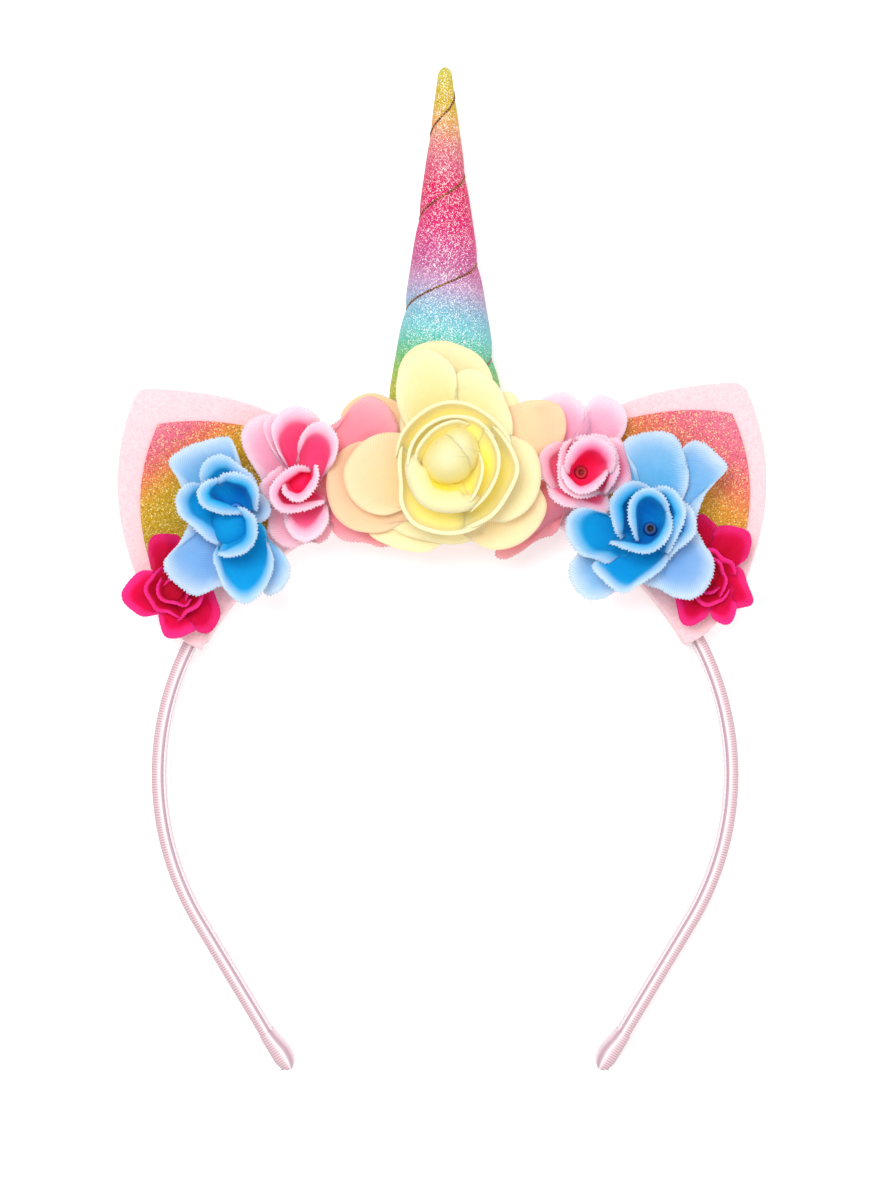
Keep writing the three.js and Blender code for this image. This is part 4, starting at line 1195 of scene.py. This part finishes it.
# Where each rose's pin stands and on what, the radius of its foot, its lean to the right and to the top in
# degrees, the height of its head above the middle of its foot, and its plastic: the colour with painted
# shade in the head's dimple, then its own colour
FLOWERS = [
    dict(name="cream_rose", at=(2.0, 63.7), seat=SLEEVE_DEPTH, foot=2.2, lean=(1, 6), top=17.5,
         plastic=("e8d23c", "f2e064"), layers=CREAM_ROSE),
    dict(name="pink_rose_left", at=(-31.0, 63.8), seat=EAR_FRONT, foot=2.2, lean=(0, 0), top=7.5,
         plastic=("dc0a46", "f01e5c"), layers=PINK_ROSE_LEFT),
    dict(name="pink_rose_right", at=(28.6, 66.0), seat=EAR_FRONT, foot=2.2, lean=(8, 5), top=7.5,
         plastic=("8a0618", "b40c28"), layers=PINK_ROSE_RIGHT),
    dict(name="blue_rose_left", at=(-45.2, 58.4), seat=GLITTER_FRONT, foot=2.2, lean=(0, 0), top=10.5,
         plastic=("0a5cb8", "1478d2"), layers=BLUE_ROSE_LEFT),
    dict(name="blue_rose_right", at=(44.4, 53.4), seat=GLITTER_FRONT, foot=2.2, lean=(0, 5), top=10.5,
         plastic=("1a1210", "0a4690"), layers=BLUE_ROSE_RIGHT),
    dict(name="magenta_rose_left", at=(-59.0, 40.6), seat=EAR_FRONT, foot=1.7, lean=(0, 0), top=5.4,
         plastic=("a8002a", "c80038"), layers=MAGENTA_ROSE_LEFT),
    dict(name="magenta_rose_right", at=(57.4, 44.0), seat=EAR_FRONT, foot=1.7, lean=(0, 0), top=5.4,
         plastic=("a8002a", "c80038"), layers=MAGENTA_ROSE_RIGHT),
]


def flower_frame(flower):
    """Turns points about the middle of a pin's foot into the drawing's frame."""
    right, top = (math.radians(angle) for angle in flower["lean"])
    turn = np.array(Matrix.Rotation(-top, 3, "X") @ Matrix.Rotation(right, 3, "Y"))
    place = np.array([*flower["at"], flower["seat"] + GAP + flower["foot"]])
    return lambda points: points @ turn.T + place


def build_pin(flower, placed):
    """A moulded pin: a round foot of glue, a ringed stem and a dimpled head."""
    foot, top = flower["foot"], flower["top"]
    shoulder = math.sqrt(foot**2 - PIN_RADIUS**2)
    profile = [(foot * math.cos(a), foot * math.sin(a)) for a in np.radians([-88, -70, -50, -25, 0, 20])]
    profile.append((PIN_RADIUS, shoulder))
    for share in np.linspace(0.1, 0.9, 9):
        z = shoulder + (top - shoulder) * share
        profile += [(PIN_RADIUS, z - PIN_RING), (PIN_RADIUS - PIN_RING, z), (PIN_RADIUS, z + PIN_RING)]
    profile += [(PIN_RADIUS, top - 0.2), (PIN_RADIUS - 0.25, top)]
    profile += [(0.6, top), (0.45, top - 0.35), (0.02, top - 0.4)]
    section = circle(PIN_SIDES)
    points, faces = loop_solid([np.column_stack([r * section, np.full(PIN_SIDES, z)]) for r, z in profile])
    name = f"{flower['name']}_pin"
    # Painted shade in the head's dimple, by the distance from the pin's middle
    attributes = {"tone": np.linalg.norm(points[:, :2], axis=1) / PIN_RADIUS}
    plastic = pin_plastic(name.replace("_rose", ""), *flower["plastic"])
    add_piece(f"{name}_moulded", placed(points), faces, plastic, [name], attributes)


def build_layer(flower, layer, placed):
    """One layer of petals as one piece of cloth."""
    name = f"{flower['name']}_{layer['name']}"
    rng = seeded(name)
    cloth = flower["name"].split("_")[0]
    stain = RIMS[cloth]["stain"]
    points, faces, tones, tints, flats = [], [], [], [], []
    count = 0
    for number, (rise, crown, flare, tint, rim) in enumerate(layer["rows"]):
        surface, tone, flat = petal_patch(rise, crown, flare, rim, layer, cloth, rng)
        surface = surface + [0, 0, PETAL_STEP * (number % 2)]
        tone = tone.ravel()
        patch_points, patch_faces = thick_sheet(surface, PETAL_WALL)
        points.append(patch_points)
        faces.append(patch_faces + count)
        count += len(patch_points)
        tones.append(np.tile(tone, 2))
        tints.append(np.tile(tint * (1 + stain) * (1 - stain * tone), 2))
        flats.append(np.tile(np.column_stack([flat.reshape(-1, 2), np.full(tone.size, number)]), (2, 1)))
    listed = {"tone": tones, "tint": tints, "cloth": flats}
    attributes = {key: np.concatenate(values) for key, values in listed.items()}
    points = placed(np.concatenate(points))
    faces = np.concatenate(faces)
    piece = add_piece(f"{name}_cloth", points, faces, CLOTHS[cloth], [name], attributes)


def build_flowers():
    for flower in FLOWERS:
        placed = flower_frame(flower)
        build_pin(flower, placed)
        for layer in flower["layers"]:
            build_layer(flower, layer, placed)


# Studio


def build_camera():
    camera = bpy.data.cameras.new("camera")
    camera.sensor_fit = "VERTICAL"
    camera.sensor_height = SENSOR
    camera.lens = SENSOR * VIEW_DISTANCE / (PHOTO_HEIGHT_PX * PHOTO_SCALE)
    camera.clip_end = 20
    obj = add_object("camera", camera)
    obj.location = row([*VIEW_CENTRE, VIEW_PLANE_Z + VIEW_DISTANCE])
    bpy.context.scene.camera = obj


def build_floor():
    mesh = bpy.data.meshes.new("floor")
    half = 4.0
    corners = [(-half, -half, 0), (half, -half, 0), (half, half, 0), (-half, half, 0)]
    mesh.from_pydata(corners, [], [(0, 1, 2, 3)])
    shader = Shader("floor", roughness=0.9, emission_color=(1, 1, 1, 1), emission_strength=0.27)
    grain = shader.noise(scale=40, detail=2)
    mesh.materials.append(shader.finish(shader.ramp(grain, [(0.3, "f7f6f5"), (0.7, "faf9f8")])))
    floor = add_object("floor", mesh)


def area_light(name, place, size, watts):
    """A round lamp at a place in metres, aimed at the middle of the headband."""
    light = bpy.data.lights.new(name, "AREA")
    light.shape = "DISK"
    light.size = size
    light.energy = watts
    obj = add_object(name, light)
    obj.location = place
    back = np.array(place) / np.linalg.norm(place)
    side = np.cross([0, 1, 0], back)
    side /= np.linalg.norm(side)
    obj.rotation_euler = Matrix(np.column_stack([side, np.cross(back, side), back]).tolist()).to_euler()


def build_light():
    scene = bpy.context.scene
    world = bpy.data.worlds.new("studio")
    world.use_nodes = True
    background = world.node_tree.nodes["Background"]
    background.inputs["Color"].default_value = (1, 1, 1, 1)
    background.inputs["Strength"].default_value = 0.6
    scene.world = world
    area_light("key", place=(-0.22, 0.32, 1.1), size=0.6, watts=9.0)
    area_light("fill", place=(0.5, -0.2, 1.0), size=0.9, watts=3.0)
    scene.view_settings.view_transform = "Standard"


build_camera()
build_band()
build_ribbon_edge()
for side, hand in HANDS:
    build_fold(side, hand)
build_sleeve()
build_ears()
build_horn()
build_thread()
build_flowers()
build_floor()
build_light()
